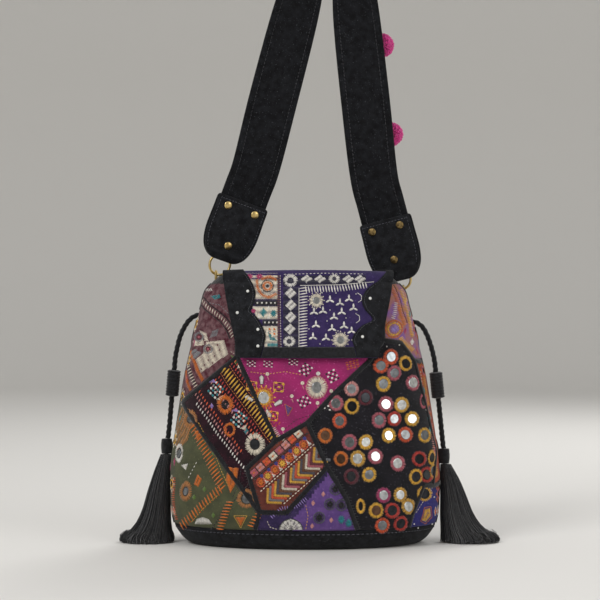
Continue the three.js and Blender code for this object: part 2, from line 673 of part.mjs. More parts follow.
// Metal rings and the side tabs that carry the D-rings
for (const [name, sign] of sides) {
  const top = linkClearance + roundRingWire / 2 + deeRingWire / 2;
  const [w, h, corner, round] = [deeRingHalfWidth, deeRingHeight, 2.5, 0.7];
  const outlinePoints = [[-w + corner, 0], [w - corner, 0], [w - round, -round], [w, -corner],
    [w, -h + corner], [w - round, -h + round], [w - corner, -h], [-w + corner, -h],
    [-w + round, -h + round], [-w, -h + corner], [-w, -corner], [-w + round, -round]];
  const ringPath = new THREE.CatmullRomCurve3(
    outlinePoints.map(([y, z]) => new THREE.Vector3(0, y, z + top)), true, "catmullrom", 0.4);
  const deeRing = addPiece(`side_ring_${name}`,
    new THREE.TubeGeometry(ringPath, 24, deeRingWire / 2, 6, true), colours.brass, 0.3, 1);
  deeRing.position.copy(link[name]);

  // The tab is a suede strip folded round the ring's lower bar and sewn to the body's side
  const barX = Math.abs(link[name].x);
  const barZ = link[name].z + top - h;
  const eyeRadius = deeRingWire / 2 + fit;
  const bendRadius = eyeRadius + sideTabPly;
  const foot = barZ - sideTabLength;
  const wallX = (z) => {
    const proud = z > bindingLow - 1 ? bindingThickness + 3 * fit : 2 * fit;
    const { a, b } = section(z, -proud);
    const y = link[name].y - sideTabWidth / 2;
    return a * Math.sqrt(1 - (y / b) ** 2);
  };
  const innerRows = heights(foot, barZ - 2, 6);
  const profile = new THREE.Shape();
  profile.moveTo(wallX(foot), foot);
  profile.lineTo(wallX(foot) + 2 * sideTabPly, foot);
  profile.lineTo(Math.max(barX + bendRadius, wallX(barZ - 10) + 2 * sideTabPly), barZ - 10);
  profile.lineTo(barX + bendRadius, barZ);
  profile.absarc(barX, barZ, bendRadius, 0, Math.PI, false);
  for (const z of innerRows.reverse().slice(0, -1)) {
    profile.lineTo(Math.max(barX - bendRadius, wallX(z)), z);
  }
  const eye = new THREE.Path();
  eye.absarc(barX, barZ, eyeRadius, 0, 2 * Math.PI, true);
  profile.holes.push(eye);
  const tab = new THREE.ExtrudeGeometry(profile,
    { depth: sideTabWidth, bevelEnabled: false, curveSegments: 8 });
  tab.rotateX(Math.PI / 2);
  if (sign < 0) {
    tab.rotateZ(Math.PI);
  }
  tab.translate(0, link[name].y - (sign * -sideTabWidth) / 2, 0);
  addPiece(`side_tab_${name}`, tab, colours.suede);
}

// Shoulder strap. Each end lies straight along its own direction; the way between is one smooth loop that
// turns its inner face from the front of the bag to the underside of the top.
const ends = {
  left: { direction: new THREE.Vector3(28, -4.2, 74).normalize(), turn: 20, tabFrom: 15 },
  right: { direction: new THREE.Vector3(-19.7, -3.8, 73.8).normalize(), turn: -20, tabFrom: 9 },
};
const strapTopHeight = 651.5;
const strapTop = [[-32.5, 442], [-6, 542], [5, 582], [11.5, 615], [20, 642], [33, strapTopHeight],
  [44, 640], [47, 612], [46.5, 582], [50, 542], [61, 442]];
const strapLift = link.left.z - 268;
const strapLean = (z) => link.left.y - (z - link.left.z) * 0.0535;
const endsAt = 2 * roundRingRadius + 3.6;

/** The point at a distance from the link along a strap end. */
function onEnd(name, distance) {
  return link[name].clone().addScaledVector(ends[name].direction, distance);
}
const straight = [endsAt, 48, 75, 92, 112];
const strapPoints = [
  ...straight.map((distance) => onEnd("left", distance)),
  ...strapTop.map(([x, z]) => new THREE.Vector3(x, strapLean(z + strapLift), z + strapLift)),
  ...[...straight].reverse().map((distance) => onEnd("right", distance)),
];
const strapCurve = new THREE.CatmullRomCurve3(strapPoints, false, "centripetal");

/** The frame of a strap end: sideways, along and outwards from the inner face. */
function endFrame(name) {
  const along = ends[name].direction;
  const turn = THREE.MathUtils.degToRad(ends[name].turn);
  const inner = new THREE.Vector3(0, -1, 0).addScaledVector(along, along.y).normalize();
  inner.applyAxisAngle(along, turn);
  const sideways = along.clone().cross(inner).normalize();
  return new THREE.Matrix4().makeBasis(sideways, along, inner);
}

/** The strap's inner normal and sideways direction at a place along its curve. */
function strapFrame(t) {
  const point = strapCurve.getPoint(t);
  const tangent = strapCurve.getTangent(t);
  const turnRows = [[250, 20], [320, 20], [360, 20], [430, 13], [500, 18], [545, 30], [590, 58], [630, 80],
    [660, 90]];
  const turn = THREE.MathUtils.degToRad(Math.min(smooth(turnRows, point.z - strapLift, 1), 90));
  const inward = new THREE.Vector3(tangent.z, 0, -tangent.x).normalize();
  const inner = new THREE.Vector3(0, -Math.cos(turn), 0).addScaledVector(inward, Math.sin(turn));
  inner.addScaledVector(tangent, -inner.dot(tangent)).normalize();
  return { point, inner, sideways: tangent.clone().cross(inner).normalize() };
}

/** Half the strap's width; inside its tabs each end is cut round. */
function strapHalfWidth(distance) {
  const cutAway = Math.max(2 * endsAt - distance, 0) / (endsAt + 6);
  return (strapWidth / 2) * Math.sqrt(1 - cutAway * cutAway);
}

const strapSteps = 64;
const strapPositions = [];
const strapIndex = [];
const strapCorners = [[-1, -1], [0, -1], [1, -1], [1, 1], [0, 1], [-1, 1]];
for (let k = 0; k <= strapSteps; k += 1) {
  const { point, inner, sideways } = strapFrame(k / strapSteps);
  const half = strapHalfWidth(Math.min(point.distanceTo(link.left), point.distanceTo(link.right)));
  for (const [u, w] of strapCorners) {
    const place = point.clone().addScaledVector(sideways, u * half);
    place.addScaledVector(inner, (w * strapThickness) / 2);
    strapPositions.push(...place.toArray());
  }
}
const ring = strapCorners.length;
for (let k = 0; k < strapSteps; k += 1) {
  for (let i = 0; i < ring; i += 1) {
    const p = k * ring + i;
    const q = k * ring + ((i + 1) % ring);
    strapIndex.push(p, q + ring, q, p, p + ring, q + ring);
  }
}
for (const [base, flip] of [[0, false], [strapSteps * ring, true]]) {
  for (const [p, q, r] of [[0, 1, 5], [1, 4, 5], [1, 2, 4], [2, 3, 4]]) {
    strapIndex.push(base + p, base + (flip ? r : q), base + (flip ? q : r));
  }
}
const strapGeometry = new THREE.BufferGeometry();
strapGeometry.setAttribute("position", new THREE.Float32BufferAttribute(strapPositions, 3));
strapGeometry.setIndex(strapIndex);

// Tabs, round rings and rivets, made in each strap end's own frame: x sideways, y along, z inner.
// A tab is one folded piece of suede: it holds the strap's end between its plies and the ring in its fold.
const tabThickness = strapThickness + 2 * tabLeather + 2 * fit;
const strap = new THREE.Group();
bag.add(strap);

/** A cylinder through a strap end's layers at a sideways and along place. */
function throughHole(x, y, diameter) {
  const hole = new THREE.CylinderGeometry(diameter / 2, diameter / 2, 40, 8);
  hole.rotateX(Math.PI / 2);
  hole.translate(x, y, 0);
  return hole;
}

let strapSolid = toSolid(strapGeometry);
for (const [name] of sides) {
  const { tabFrom } = ends[name];
  const tabTo = tabFrom + tabLength;
  const frame = endFrame(name);
  const group = new THREE.Group();
  group.position.copy(link[name]);
  group.quaternion.setFromRotationMatrix(frame);
  group.updateMatrix();
  strap.add(group);

  const rivetAcross = strapWidth * 0.3;
  const rivets = [[-rivetAcross, tabTo - 9], [rivetAcross, tabTo - 9], [0, endsAt + 6.5]];
  const half = tabWidth / 2;
  const chin = tongueWidth / 2 + 3;
  const shoulder = tabFrom + tabWidth - 22;
  const outline = new THREE.Shape();
  outline.moveTo(-half + 3, tabTo);
  outline.quadraticCurveTo(-half, tabTo, -half, tabTo - 4);
  outline.lineTo(-half - 0.5, shoulder);
  outline.bezierCurveTo(-half, shoulder - 16, -chin - 6, tabFrom + 3, -chin, tabFrom);
  outline.lineTo(chin, tabFrom);
  outline.bezierCurveTo(chin + 6, tabFrom + 3, half, shoulder - 16, half + 0.5, shoulder);
  outline.lineTo(half, tabTo - 4);
  outline.quadraticCurveTo(half, tabTo, half - 3, tabTo);
  const pad = new THREE.ExtrudeGeometry(outline,
    { depth: tabThickness, bevelEnabled: false, curveSegments: 4 });
  pad.translate(0, 0, -tabThickness / 2);
  const pocketShape = new THREE.Shape();
  const pocketRows = heights(endsAt, 2 * endsAt, 6);
  pocketShape.moveTo(0, endsAt - fit);
  for (const y of pocketRows) {
    pocketShape.lineTo(strapHalfWidth(y) + fit, y - fit);
  }
  pocketShape.lineTo(strapWidth / 2 + fit, tabTo + 2);
  pocketShape.lineTo(-strapWidth / 2 - fit, tabTo + 2);
  for (const y of pocketRows.reverse()) {
    pocketShape.lineTo(-strapHalfWidth(y) - fit, y - fit);
  }
  const pocketDepth = strapThickness + 2 * fit;
  const pocket = new THREE.ExtrudeGeometry(pocketShape, { depth: pocketDepth, bevelEnabled: false });
  pocket.translate(0, 0, -pocketDepth / 2);
  const ringWay = new THREE.TorusGeometry(roundRingRadius, roundRingWire / 2 + fit, 6, 24);
  ringWay.translate(0, roundRingRadius, 0);
  const holes = rivets.map(([x, y]) => throughHole(x, y, rivetShankDiameter + 2 * fit));
  addPiece(`strap_tab_${name}`, cut(pad, pocket, ringWay, ...holes), colours.suede, 0.9, 0, group);

  const roundRing = new THREE.TorusGeometry(roundRingRadius, roundRingWire / 2, 6, 24);
  roundRing.translate(0, roundRingRadius, 0);
  addPiece(`round_ring_${name}`, roundRing, colours.brass, 0.3, 1, group);

  for (const [i, [x, y]] of rivets.entries()) {
    const reach = tabThickness / 2 + fit;
    const [shank, head] = [rivetShankDiameter / 2, rivetCapDiameter / 2];
    const crown = reach + rivetCapHeight;
    const profile = [[0, -crown], [head * 0.7, -crown], [head, -reach - 0.3], [head, -reach], [shank, -reach],
      [shank, reach], [head, reach], [head, reach + 0.3], [head * 0.7, crown], [0, crown]]
      .map(([r, z]) => new THREE.Vector2(r, z));
    const rivet = new THREE.LatheGeometry(profile, 8);
    rivet.rotateX(Math.PI / 2);
    addPiece(`rivet_${name}_${i + 1}`, rivet, colours.brass, 0.3, 1, group).position.set(x, y, 0);
    const hole = throughHole(x, y, rivetShankDiameter + 2 * fit).applyMatrix4(group.matrix);
    strapSolid = strapSolid.subtract(toSolid(hole));
  }
}
addPiece("strap", toGeometry(strapSolid), colours.cotton, 0.9, 0, strap);

// Pompoms along one edge of the strap's outer face, from the right leg up to the top
const pompomFirst = 406.6;
const pompomInset = strapWidth * 0.1;
const pompomGap = strapWidth * 0.006;
for (let k = 0; k < 4; k += 1) {
  let t = 1;
  const target = Math.min(pompomFirst + k * pompomPitch, strapTopHeight - 5.5) + strapLift;
  while (t > 0.5 && strapCurve.getPoint(t).z < target) {
    t -= 0.0005;
  }
  const { point, inner, sideways } = strapFrame(t);
  const place = point.clone().addScaledVector(inner, -(strapThickness + pompomDiameter) / 2 - pompomGap);
  place.addScaledVector(sideways, -(strapWidth / 2 - pompomInset));
  const ball = new THREE.SphereGeometry(pompomDiameter / 2, 12, 8);
  addPiece(`pompom_${k + 1}`, ball, colours.pink, 1, 0, strap).position.copy(place);
}

export default bag;
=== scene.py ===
"""The looks of a potli bag: an oval patchwork body with mirror work, a suede base, two cords with tassels
at the sides, a flap over the mouth and a wide black shoulder strap.

Sizes are in millimetres and become metres when a mesh is made. +Z is up and the front looks towards -Y.
"""

import math

import bpy
import numpy as np
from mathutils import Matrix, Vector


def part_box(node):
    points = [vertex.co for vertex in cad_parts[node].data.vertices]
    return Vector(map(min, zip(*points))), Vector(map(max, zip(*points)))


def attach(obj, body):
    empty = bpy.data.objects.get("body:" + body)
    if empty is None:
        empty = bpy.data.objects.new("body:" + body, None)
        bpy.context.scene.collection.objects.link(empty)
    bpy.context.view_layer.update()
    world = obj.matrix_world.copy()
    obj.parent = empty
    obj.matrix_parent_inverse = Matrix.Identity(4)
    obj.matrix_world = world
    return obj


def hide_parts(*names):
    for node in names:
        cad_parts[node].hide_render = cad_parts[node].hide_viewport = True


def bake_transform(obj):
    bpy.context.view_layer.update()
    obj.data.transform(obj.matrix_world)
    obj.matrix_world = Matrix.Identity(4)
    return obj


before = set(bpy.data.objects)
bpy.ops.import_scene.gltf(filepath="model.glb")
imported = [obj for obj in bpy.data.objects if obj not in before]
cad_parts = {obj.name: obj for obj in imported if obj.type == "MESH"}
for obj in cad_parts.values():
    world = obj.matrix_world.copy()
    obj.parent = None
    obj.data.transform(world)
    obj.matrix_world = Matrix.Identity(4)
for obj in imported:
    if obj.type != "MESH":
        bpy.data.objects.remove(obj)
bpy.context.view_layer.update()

# Camera
# The bag is seen level from 1.8 m in front, through a lens so long that the strap leaves the picture at
# its top edge.
MM = 0.001
EYE = np.array([-5.0, -1800.0, 242.0])
LENS = 108.0
SENSOR = 36.0
PICTURE_SIDE = 600
PIXELS_PER_UNIT = PICTURE_SIDE * LENS / SENSOR

camera_data = bpy.data.cameras.new("camera")
camera_data.lens = LENS
camera_data.sensor_width = SENSOR
camera_data.clip_end = 20
camera = bpy.data.objects.new("camera", camera_data)
camera.location = EYE * MM
camera.rotation_euler = (math.radians(90), 0, 0)
bpy.context.scene.collection.objects.link(camera)
bpy.context.scene.camera = camera


def sight(pixels):
    """Directions of the lines of sight through picture points, scaled to go 1 along +Y."""
    across = (pixels[..., 0] - PICTURE_SIDE / 2) / PIXELS_PER_UNIT
    up = (PICTURE_SIDE / 2 - pixels[..., 1]) / PIXELS_PER_UNIT
    return np.stack([across, np.ones_like(across), up], axis=-1)


# Drawstring ends
# Black cotton cord of 5 mm, laid from three plies. Two cords run round the mouth in a tunnel; the doubled
# ends of each leave it at one side, hang in a bend and go down into the tassel's knot.
CORD_DIAMETER = 5.0
CORD_SPACING = 6.0
CORD_LAY = 17.0
STRAND_ROUTES = {
    "left": [(-96.5, 227), (-104, 227.2), (-110, 226), (-116, 221.5), (-121, 214), (-125, 205), (-127.6, 195),
             (-129.6, 185), (-130.5, 175), (-131.4, 165), (-132.2, 155), (-133.1, 145), (-134, 135),
             (-134.8, 125), (-135.7, 115), (-136.6, 107), (-136.9, 104.1)],
    "right": [(98, 220), (105, 220.4), (111, 219.6), (117, 215.5), (121.5, 208), (125, 199), (127.6, 190),
              (129.6, 180.5), (130.6, 171), (131.6, 161), (132.6, 151), (133.6, 141), (134.6, 131),
              (135.6, 121), (136.6, 111), (137.6, 101), (138.4, 94)],
}


def linear(colour):
    """A hex colour as linear red, green, blue and 1."""
    channels = [int(colour[i:i + 2], 16) / 255 for i in (1, 3, 5)]
    return [c / 12.92 if c <= 0.04045 else ((c + 0.055) / 1.055) ** 2.4 for c in channels] + [1.0]


def add(material, kind, feeds=None, **settings):
    """Adds a node to a material. feeds gives its inputs, by name or number, a value or another's output."""
    node = material.node_tree.nodes.new(kind)
    for name, value in settings.items():
        setattr(node, name, value)
    for name, value in (feeds or {}).items():
        if isinstance(value, bpy.types.NodeSocket):
            material.node_tree.links.new(value, node.inputs[name])
        else:
            node.inputs[name].default_value = value
    return node


def new_material(name, colour, roughness, metallic=0.0, sheen=0.0, shine=0.15):
    """A material with one surface shader, and that shader."""
    material = bpy.data.materials.new(name)
    material.use_nodes = True
    shader = material.node_tree.nodes["Principled BSDF"]
    shader.inputs["Base Color"].default_value = linear(colour)
    shader.inputs["Roughness"].default_value = roughness
    shader.inputs["Metallic"].default_value = metallic
    shader.inputs["Specular IOR Level"].default_value = shine
    shader.inputs["Sheen Weight"].default_value = sheen
    shader.inputs["Sheen Roughness"].default_value = 0.5
    return material, shader


def join(material, output, shader, name):
    """Feeds a shader's input from a node's output."""
    material.node_tree.links.new(output, shader.inputs[name])


def mottle(material, coordinates, size_mm, low, high, detail=3.0):
    """A blend of two colours in soft spots about size_mm across; gives the colour output."""
    noise = add(material, "ShaderNodeTexNoise", {"Vector": coordinates, "Scale": 1000 / size_mm,
                                                 "Detail": detail})
    spread = add(material, "ShaderNodeMapRange",
                 {"Value": noise.outputs["Fac"], "From Min": 0.35, "From Max": 0.65})
    blend = add(material, "ShaderNodeMix", {0: spread.outputs["Result"], 6: linear(low), 7: linear(high)},
                data_type="RGBA")
    return blend.outputs[2]


def relief(material, shader, height, depth_mm):
    """Raises the surface by a height from 0 to 1 times depth_mm, as bump."""
    bump = add(material, "ShaderNodeBump", {"Height": height, "Distance": depth_mm * MM, "Strength": 1.0})
    join(material, bump.outputs["Normal"], shader, "Normal")


def object_coordinates(material):
    """The place on the piece, in metres."""
    return add(material, "ShaderNodeTexCoord").outputs["Object"]


def grained(name, colour, roughness, spots, grain=None, **looks):
    """A material mottled by spots, given as size in mm and two colours, with a bumpy grain, given as size and
    depth in mm."""
    material, shader = new_material(name, colour, roughness, **looks)
    place = object_coordinates(material)
    join(material, mottle(material, place, *spots), shader, "Base Color")
    if grain:
        noise = add(material, "ShaderNodeTexNoise", {"Vector": place, "Scale": 1000 / grain[0]})
        relief(material, shader, noise.outputs["Fac"], grain[1])
    return material


def toned(name, colour, roughness, grain, shades, **looks):
    """A material that takes its colour from the mesh's tone, lighter and darker within shades in a bumpy
    grain, given as size and depth in mm."""
    material, shader = new_material(name, colour, roughness, **looks)
    tone = add(material, "ShaderNodeAttribute", attribute_name="tone").outputs["Color"]
    place = object_coordinates(material)
    noise = add(material, "ShaderNodeTexNoise", {"Vector": place, "Scale": 1000 / grain[0]})
    shade = add(material, "ShaderNodeMapRange", {"Value": noise.outputs["Fac"], "From Min": 0.3,
                                                 "From Max": 0.7,
                                                 "To Min": shades[0], "To Max": shades[1]})
    scaled = add(material, "ShaderNodeVectorMath", {0: tone, "Scale": shade.outputs["Result"]},
                 operation="SCALE")
    join(material, scaled.outputs["Vector"], shader, "Base Color")
    relief(material, shader, noise.outputs["Fac"], grain[1])
    return material


# Dyed cotton yarn: matt, with fine hairs that catch the light; its strands show as a fine grain.
cord_cotton = grained("black cotton cord", "#101113", 0.85, (3.0, "#0A0A0C", "#1B1C1F"), (0.7, 0.25),
                      sheen=0.25)


def finish_piece(name, mesh, body, replaces=()):
    """An object for a finished mesh, riding on a body and standing for CAD nodes."""
    piece = bpy.data.objects.new(name, mesh)
    bpy.context.scene.collection.objects.link(piece)
    if body:
        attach(piece, body)
    if replaces:
        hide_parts(*replaces)
    return piece


def turn_outwards(mesh):
    """Flips a mesh whose faces enclose a negative volume, measured from the middle of the bag."""
    mesh.calc_loop_triangles()
    corners = np.zeros(len(mesh.loop_triangles) * 3, dtype=np.int32)
    mesh.loop_triangles.foreach_get("vertices", corners)
    places = np.zeros(len(mesh.vertices) * 3, dtype=np.float32)
    mesh.vertices.foreach_get("co", places)
    a, b, c = (places.reshape(-1, 3).astype(float) - [0, 0, 0.12])[corners.reshape(-1, 3)].transpose(1, 0, 2)
    if np.sum(np.cross(a, b) * c) < 0:
        mesh.flip_normals()


def make_mesh(name, points, faces, materials, numbers=None, tones=None, chart=None):
    """A smooth mesh from points in mm. numbers gives each face's material, tones a colour and chart a
    flat place in mm for each point."""
    mesh = bpy.data.meshes.new(name)
    mesh.from_pydata((np.asarray(points) * MM).tolist(), [], faces)
    for material in materials:
        mesh.materials.append(material)
    if numbers is not None:
        mesh.polygons.foreach_set("material_index", np.asarray(numbers, dtype=np.int32))
    if tones is not None:
        colours = mesh.color_attributes.new("tone", "FLOAT_COLOR", "POINT")
        colours.data.foreach_set("color", np.asarray(tones, dtype=np.float32).ravel())
    if chart is not None:
        corners = np.zeros(len(mesh.loops), dtype=np.int32)
        mesh.loops.foreach_get("vertex_index", corners)
        layer = mesh.uv_layers.new(name="chart")
        layer.data.foreach_set("uv", (np.asarray(chart)[corners] * MM).astype(np.float32).ravel())
    mesh.shade_smooth()
    mesh.update()
    turn_outwards(mesh)
    return mesh


def add_piece(name, points, faces, material, body, slot, replaces=(), **details):
    """A piece in one material, from points in mm and faces."""
    mesh = make_mesh(name, np.reshape(points, (-1, 3)), faces, [material], **details)
    return finish_piece(name, mesh, body, replaces)


def smooth_path(points, per_span):
    """The centripetal Catmull-Rom curve through the points: each span is the cubic whose end slopes come
    from its neighbours, with knots at the square root of the distances. Gives per_span places a span."""
    p = np.asarray(points, dtype=float)
    p = np.vstack([2 * p[0] - p[1], p, 2 * p[-1] - p[-2]])
    gaps = np.sqrt(np.linalg.norm(np.diff(p, axis=0), axis=1))
    d0, d1, d2 = gaps[:-2, None], gaps[1:-1, None], gaps[2:, None]
    p0, p1, p2, p3 = p[:-3], p[1:-2], p[2:-1], p[3:]
    leave = ((p1 - p0) / d0 - (p2 - p0) / (d0 + d1) + (p2 - p1) / d1) * d1
    arrive = ((p2 - p1) / d1 - (p3 - p1) / (d1 + d2) + (p3 - p2) / d2) * d1
    t = (np.arange(per_span) / per_span)[None, :, None]
    p1, p2, leave, arrive = (v[:, None, :] for v in (p1, p2, leave, arrive))
    curve = (2 * t**3 - 3 * t**2 + 1) * p1 + (t**3 - 2 * t**2 + t) * leave
    curve = curve + (3 * t**2 - 2 * t**3) * p2 + (t**3 - t**2) * arrive
    return np.vstack([curve.reshape(-1, p.shape[1]), p[-2:-1]])


def unit(vectors):
    """Vectors scaled to length 1."""
    return vectors / np.maximum(np.linalg.norm(vectors, axis=-1, keepdims=True), 1e-9)


def slopes(path):
    """Unit directions along a path, or along many paths at once."""
    return unit(np.gradient(path, axis=-2))


def tube_faces(tubes, places, around):
    """Faces of closed tubes whose points run round each place, then along, then from tube to tube."""
    first = np.arange(tubes)[:, None, None] * places * around
    row = np.arange(places - 1)[None, :, None] * around
    a = first + row + np.arange(around)
    b = first + row + (np.arange(around) + 1) % around
    sides = np.stack([a, b, b + around, a + around], axis=-1).reshape(-1, 4)
    starts = (np.arange(tubes)[:, None] * places * around + np.arange(around)[::-1]).tolist()
    ends = (np.arange(tubes)[:, None] * places * around + (places - 1) * around + np.arange(around)).tolist()
    return sides.tolist() + starts + ends


def sweep(path, reference, across, up):
    """Carries a section along a path: path + side * across + top * up, where side is square to the path and
    the reference, and top is square to both."""
    along = slopes(path)
    side = unit(np.cross(np.broadcast_to(reference, path.shape), along))
    top = np.cross(along, side)
    return path[..., None, :] + side[..., None, :] * across[..., None] + top[..., None, :] * up[..., None]


def circle(count):
    """Angles spread evenly round a circle."""
    return np.linspace(0, 2 * np.pi, count, endpoint=False)


def rope(name, path, reference, body, replaces):
    """Three plies laid round each other: the radius at angle q and length s is
    R (0.9 + 0.12 cos(3 (q - 2 pi s / lay)))."""
    lengths = np.concatenate([[0], np.cumsum(np.linalg.norm(np.diff(path, axis=0), axis=1))])
    around = circle(18)
    twist = 2 * np.pi * lengths[:, None] / CORD_LAY
    radius = CORD_DIAMETER / 2 * (0.9 + 0.12 * np.cos(3 * (around[None, :] - twist)))
    rings = sweep(path, reference, radius * np.cos(around), radius * np.sin(around))
    faces = tube_faces(1, len(path), len(around))
    return add_piece(name, rings, faces, cord_cotton, body, "black_cotton", replaces), lengths[-1]


free_cords = {}
for side_name, route in STRAND_ROUTES.items():
    for place_name, offset in (("front", -CORD_SPACING / 2), ("back", CORD_SPACING / 2)):
        line = smooth_path([(x, offset, z) for x, z in route], 8)
        node = f"strand_{side_name}_{place_name}"
        free_cords[node] = (*rope(f"cord_{side_name}_{place_name}", line, (0, 1, 0), "bag", [node]), line)

# Floor and light
# A pale seamless round floor whose edge sweeps up into a wall, far behind everything. Broad soft lamps
# stand at the upper left, at the right and behind, and the pale room itself gives light.
FLOOR_COLOUR = "#DEDCD8"
FLOOR_REACH, FLOOR_BEND, WALL_HEIGHT = 3200.0, 1000.0, 2600.0
FLOOR_SIDES = 96
floor_paper = new_material("pale paper", FLOOR_COLOUR, 0.9)[0]
bend = np.linspace(0, np.pi / 2, 16)
floor_profile = np.stack([FLOOR_REACH + FLOOR_BEND * np.sin(bend), FLOOR_BEND - FLOOR_BEND * np.cos(bend)], 1)
floor_profile = np.concatenate([[[1.0, 0.0]], floor_profile, [[FLOOR_REACH + FLOOR_BEND, WALL_HEIGHT]]])
floor_turn = circle(FLOOR_SIDES)
floor_points = np.stack([floor_profile[:, :1] * np.cos(floor_turn), floor_profile[:, :1] * np.sin(floor_turn),
                         floor_profile[:, 1:] + 0 * floor_turn], axis=-1).reshape(-1, 3)
floor_faces = tube_faces(1, len(floor_profile), FLOOR_SIDES)[:-1]
floor = bpy.data.objects.new("floor", make_mesh("floor", floor_points, floor_faces, [floor_paper]))
bpy.context.scene.collection.objects.link(floor)

ROOM_LIGHT = 0.55
world = bpy.data.worlds.new("room")
world.use_nodes = True
world.node_tree.nodes["Background"].inputs["Color"].default_value = (1.0, 1.0, 1.0, 1.0)
world.node_tree.nodes["Background"].inputs["Strength"].default_value = ROOM_LIGHT
bpy.context.scene.world = world
bpy.context.scene.view_settings.view_transform = "Standard"


def add_lamp(name, place, aim, size, power):
    """A square soft lamp at a place, turned to shine at a point; both in metres."""
    data = bpy.data.lights.new(name, "AREA")
    data.size = size
    data.energy = power
    lamp = bpy.data.objects.new(name, data)
    lamp.location = place
    offset = np.array(aim) - np.array(place)
    yaw = math.atan2(offset[0], -offset[1])
    pitch = math.atan2(math.hypot(offset[0], offset[1]), -offset[2])
    lamp.rotation_euler = (pitch, 0, math.pi + yaw)
    bpy.context.scene.collection.objects.link(lamp)


add_lamp("key", (-1.3, -1.5, 1.5), (0, 0, 0.2), 0.9, 26)
add_lamp("fill", (1.7, -1.2, 0.9), (0, 0, 0.2), 1.2, 12)
add_lamp("back", (0.9, 1.5, 1.5), (0, 0, 0.3), 1.0, 16)

# Body
# A soft bag, oval in section, of foundation cloth with wadding. Its patchwork bulges a little between the
# seams and is drawn in along them.
BODY_WIDTH = 266.0
BODY_DEPTH = 150.0
BODY_HEIGHT = 265.0
BASE_HEIGHT = 20.0
LAYER_GAP = 0.3
SECTION_SHARES = np.array([
    [0, 0.421, 0.373], [0.011, 0.442, 0.403], [0.03, 0.463, 0.435], [0.075, 0.489, 0.48],
    [0.19, 0.5, 0.5], [0.34, 0.497, 0.5], [0.53, 0.47, 0.473], [0.66, 0.447, 0.447],
    [0.785, 0.416, 0.407], [0.894, 0.387, 0.367], [0.943, 0.374, 0.347], [0.97, 0.354, 0.323],
    [1, 0.32, 0.28],
])


def smooth(rows, x, column):
    """The smooth curve through rows of [x, ...values] for one value: on each span the cubic whose end slopes
    join the neighbouring rows."""
    rows = np.asarray(rows, dtype=float)
    place, value = rows[:, 0], rows[:, column]
    before = np.maximum(np.arange(len(rows)) - 1, 0)
    after = np.minimum(np.arange(len(rows)) + 1, len(rows) - 1)
    slope = (value[after] - value[before]) / (place[after] - place[before])
    i = np.clip(np.searchsorted(place, x, side="left") - 1, 0, len(rows) - 2)
    span = place[i + 1] - place[i]
    t = np.clip((x - place[i]) / span, 0, 1)
    start = (2 * t**3 - 3 * t**2 + 1) * value[i] + (t**3 - 2 * t**2 + t) * span * slope[i]
    return start + (3 * t**2 - 2 * t**3) * value[i + 1] + (t**3 - t**2) * span * slope[i + 1]


def body_section(z):
    """Half width and half depth of the body's oval at a height."""
    share = np.asarray(z, dtype=float) / BODY_HEIGHT
    return smooth(SECTION_SHARES, share, 1) * BODY_WIDTH, smooth(SECTION_SHARES, share, 2) * BODY_DEPTH


def oval(angle, z, inset=0.0):
    """The oval's point (a sin q, -b cos q, z); the angle q is 0 at the front and grows towards +X."""
    half_width, half_depth = body_section(z)
    return np.stack([(half_width - inset) * np.sin(angle), (inset - half_depth) * np.cos(angle),
                     np.broadcast_to(z, np.shape(angle)).astype(float)], axis=-1)


# The seams' corners, as distance across and height; the front and the back share the outer ones.
SEAM = {
    "topLeft": (-160, 280), "topFloral": (-66, 280), "topLilac": (76, 280), "topRight": (160, 280),
    "floralLow": (-66, 187), "bandLeft": (-122, 141), "outLeft": (-160, 138), "bandRight": (-28, 107),
    "chevronLeft": (-56, 80), "chevronLow": (-44, 38), "oliveFoot": (-54, 0), "mirrorLeft": (2, 124),
    "chevronRight": (21, 82), "chevronFoot": (-18, 38), "purpleRight": (39, 52), "mirrorFoot": (58, 0),
    "mirrorTop": (28, 152), "magentaRight": (62, 183), "lilacLow": (76, 203), "lilacMid": (94, 200),
    "lilacRight": (108, 182), "outRight": (160, 175), "stripMid": (119, 138), "stripLow": (130, 92),
    "outStrip": (160, 60), "blueRight": (126, 59), "blueTop": (116, 60), "blueLeft": (104, 32),
    "blueFoot": (96, 0), "footLeft": (-160, 0), "footRight": (160, 0), "backTop": (12, 280),
    "backMid": (-18, 150), "backLeft": (-160, 118), "backRight": (160, 168), "backFoot": (34, 0),
}
FRONT_PATCHES = {
    "floral": "topLeft topFloral floralLow bandLeft outLeft",
    "rung_band": "bandLeft floralLow bandRight chevronLeft chevronLow",
    "magenta": "topFloral topLilac lilacLow magentaRight mirrorTop mirrorLeft bandRight floralLow",
    "mirror": "mirrorLeft mirrorTop magentaRight lilacLow lilacMid lilacRight stripMid stripLow blueRight "
              "blueTop blueLeft blueFoot mirrorFoot purpleRight chevronRight",
    "olive": "outLeft bandLeft chevronLow oliveFoot footLeft",
    "chevron": "chevronLeft bandRight mirrorLeft chevronRight chevronFoot chevronLow",
    "purple": "chevronLow chevronFoot chevronRight purpleRight mirrorFoot oliveFoot",
    "lilac": "topLilac topRight outRight lilacRight lilacMid lilacLow",
    "side_strip": "lilacRight outRight outStrip blueRight stripLow stripMid",
    "blue": "blueTop blueRight outStrip footRight blueFoot blueLeft",
}
BACK_PATCHES = {
    "back_teal": "topLeft backTop backMid backLeft",
    "back_maroon": "backTop topRight backRight backMid",
    "back_ochre": "backLeft backMid backFoot footLeft",
    "back_violet": "backMid backRight footRight backFoot",
}
OUTER_CORNERS = {"topLeft", "topRight", "outLeft", "outRight", "outStrip", "footLeft", "footRight",
                 "backLeft",
                 "backRight", "topFloral", "topLilac", "backTop"}


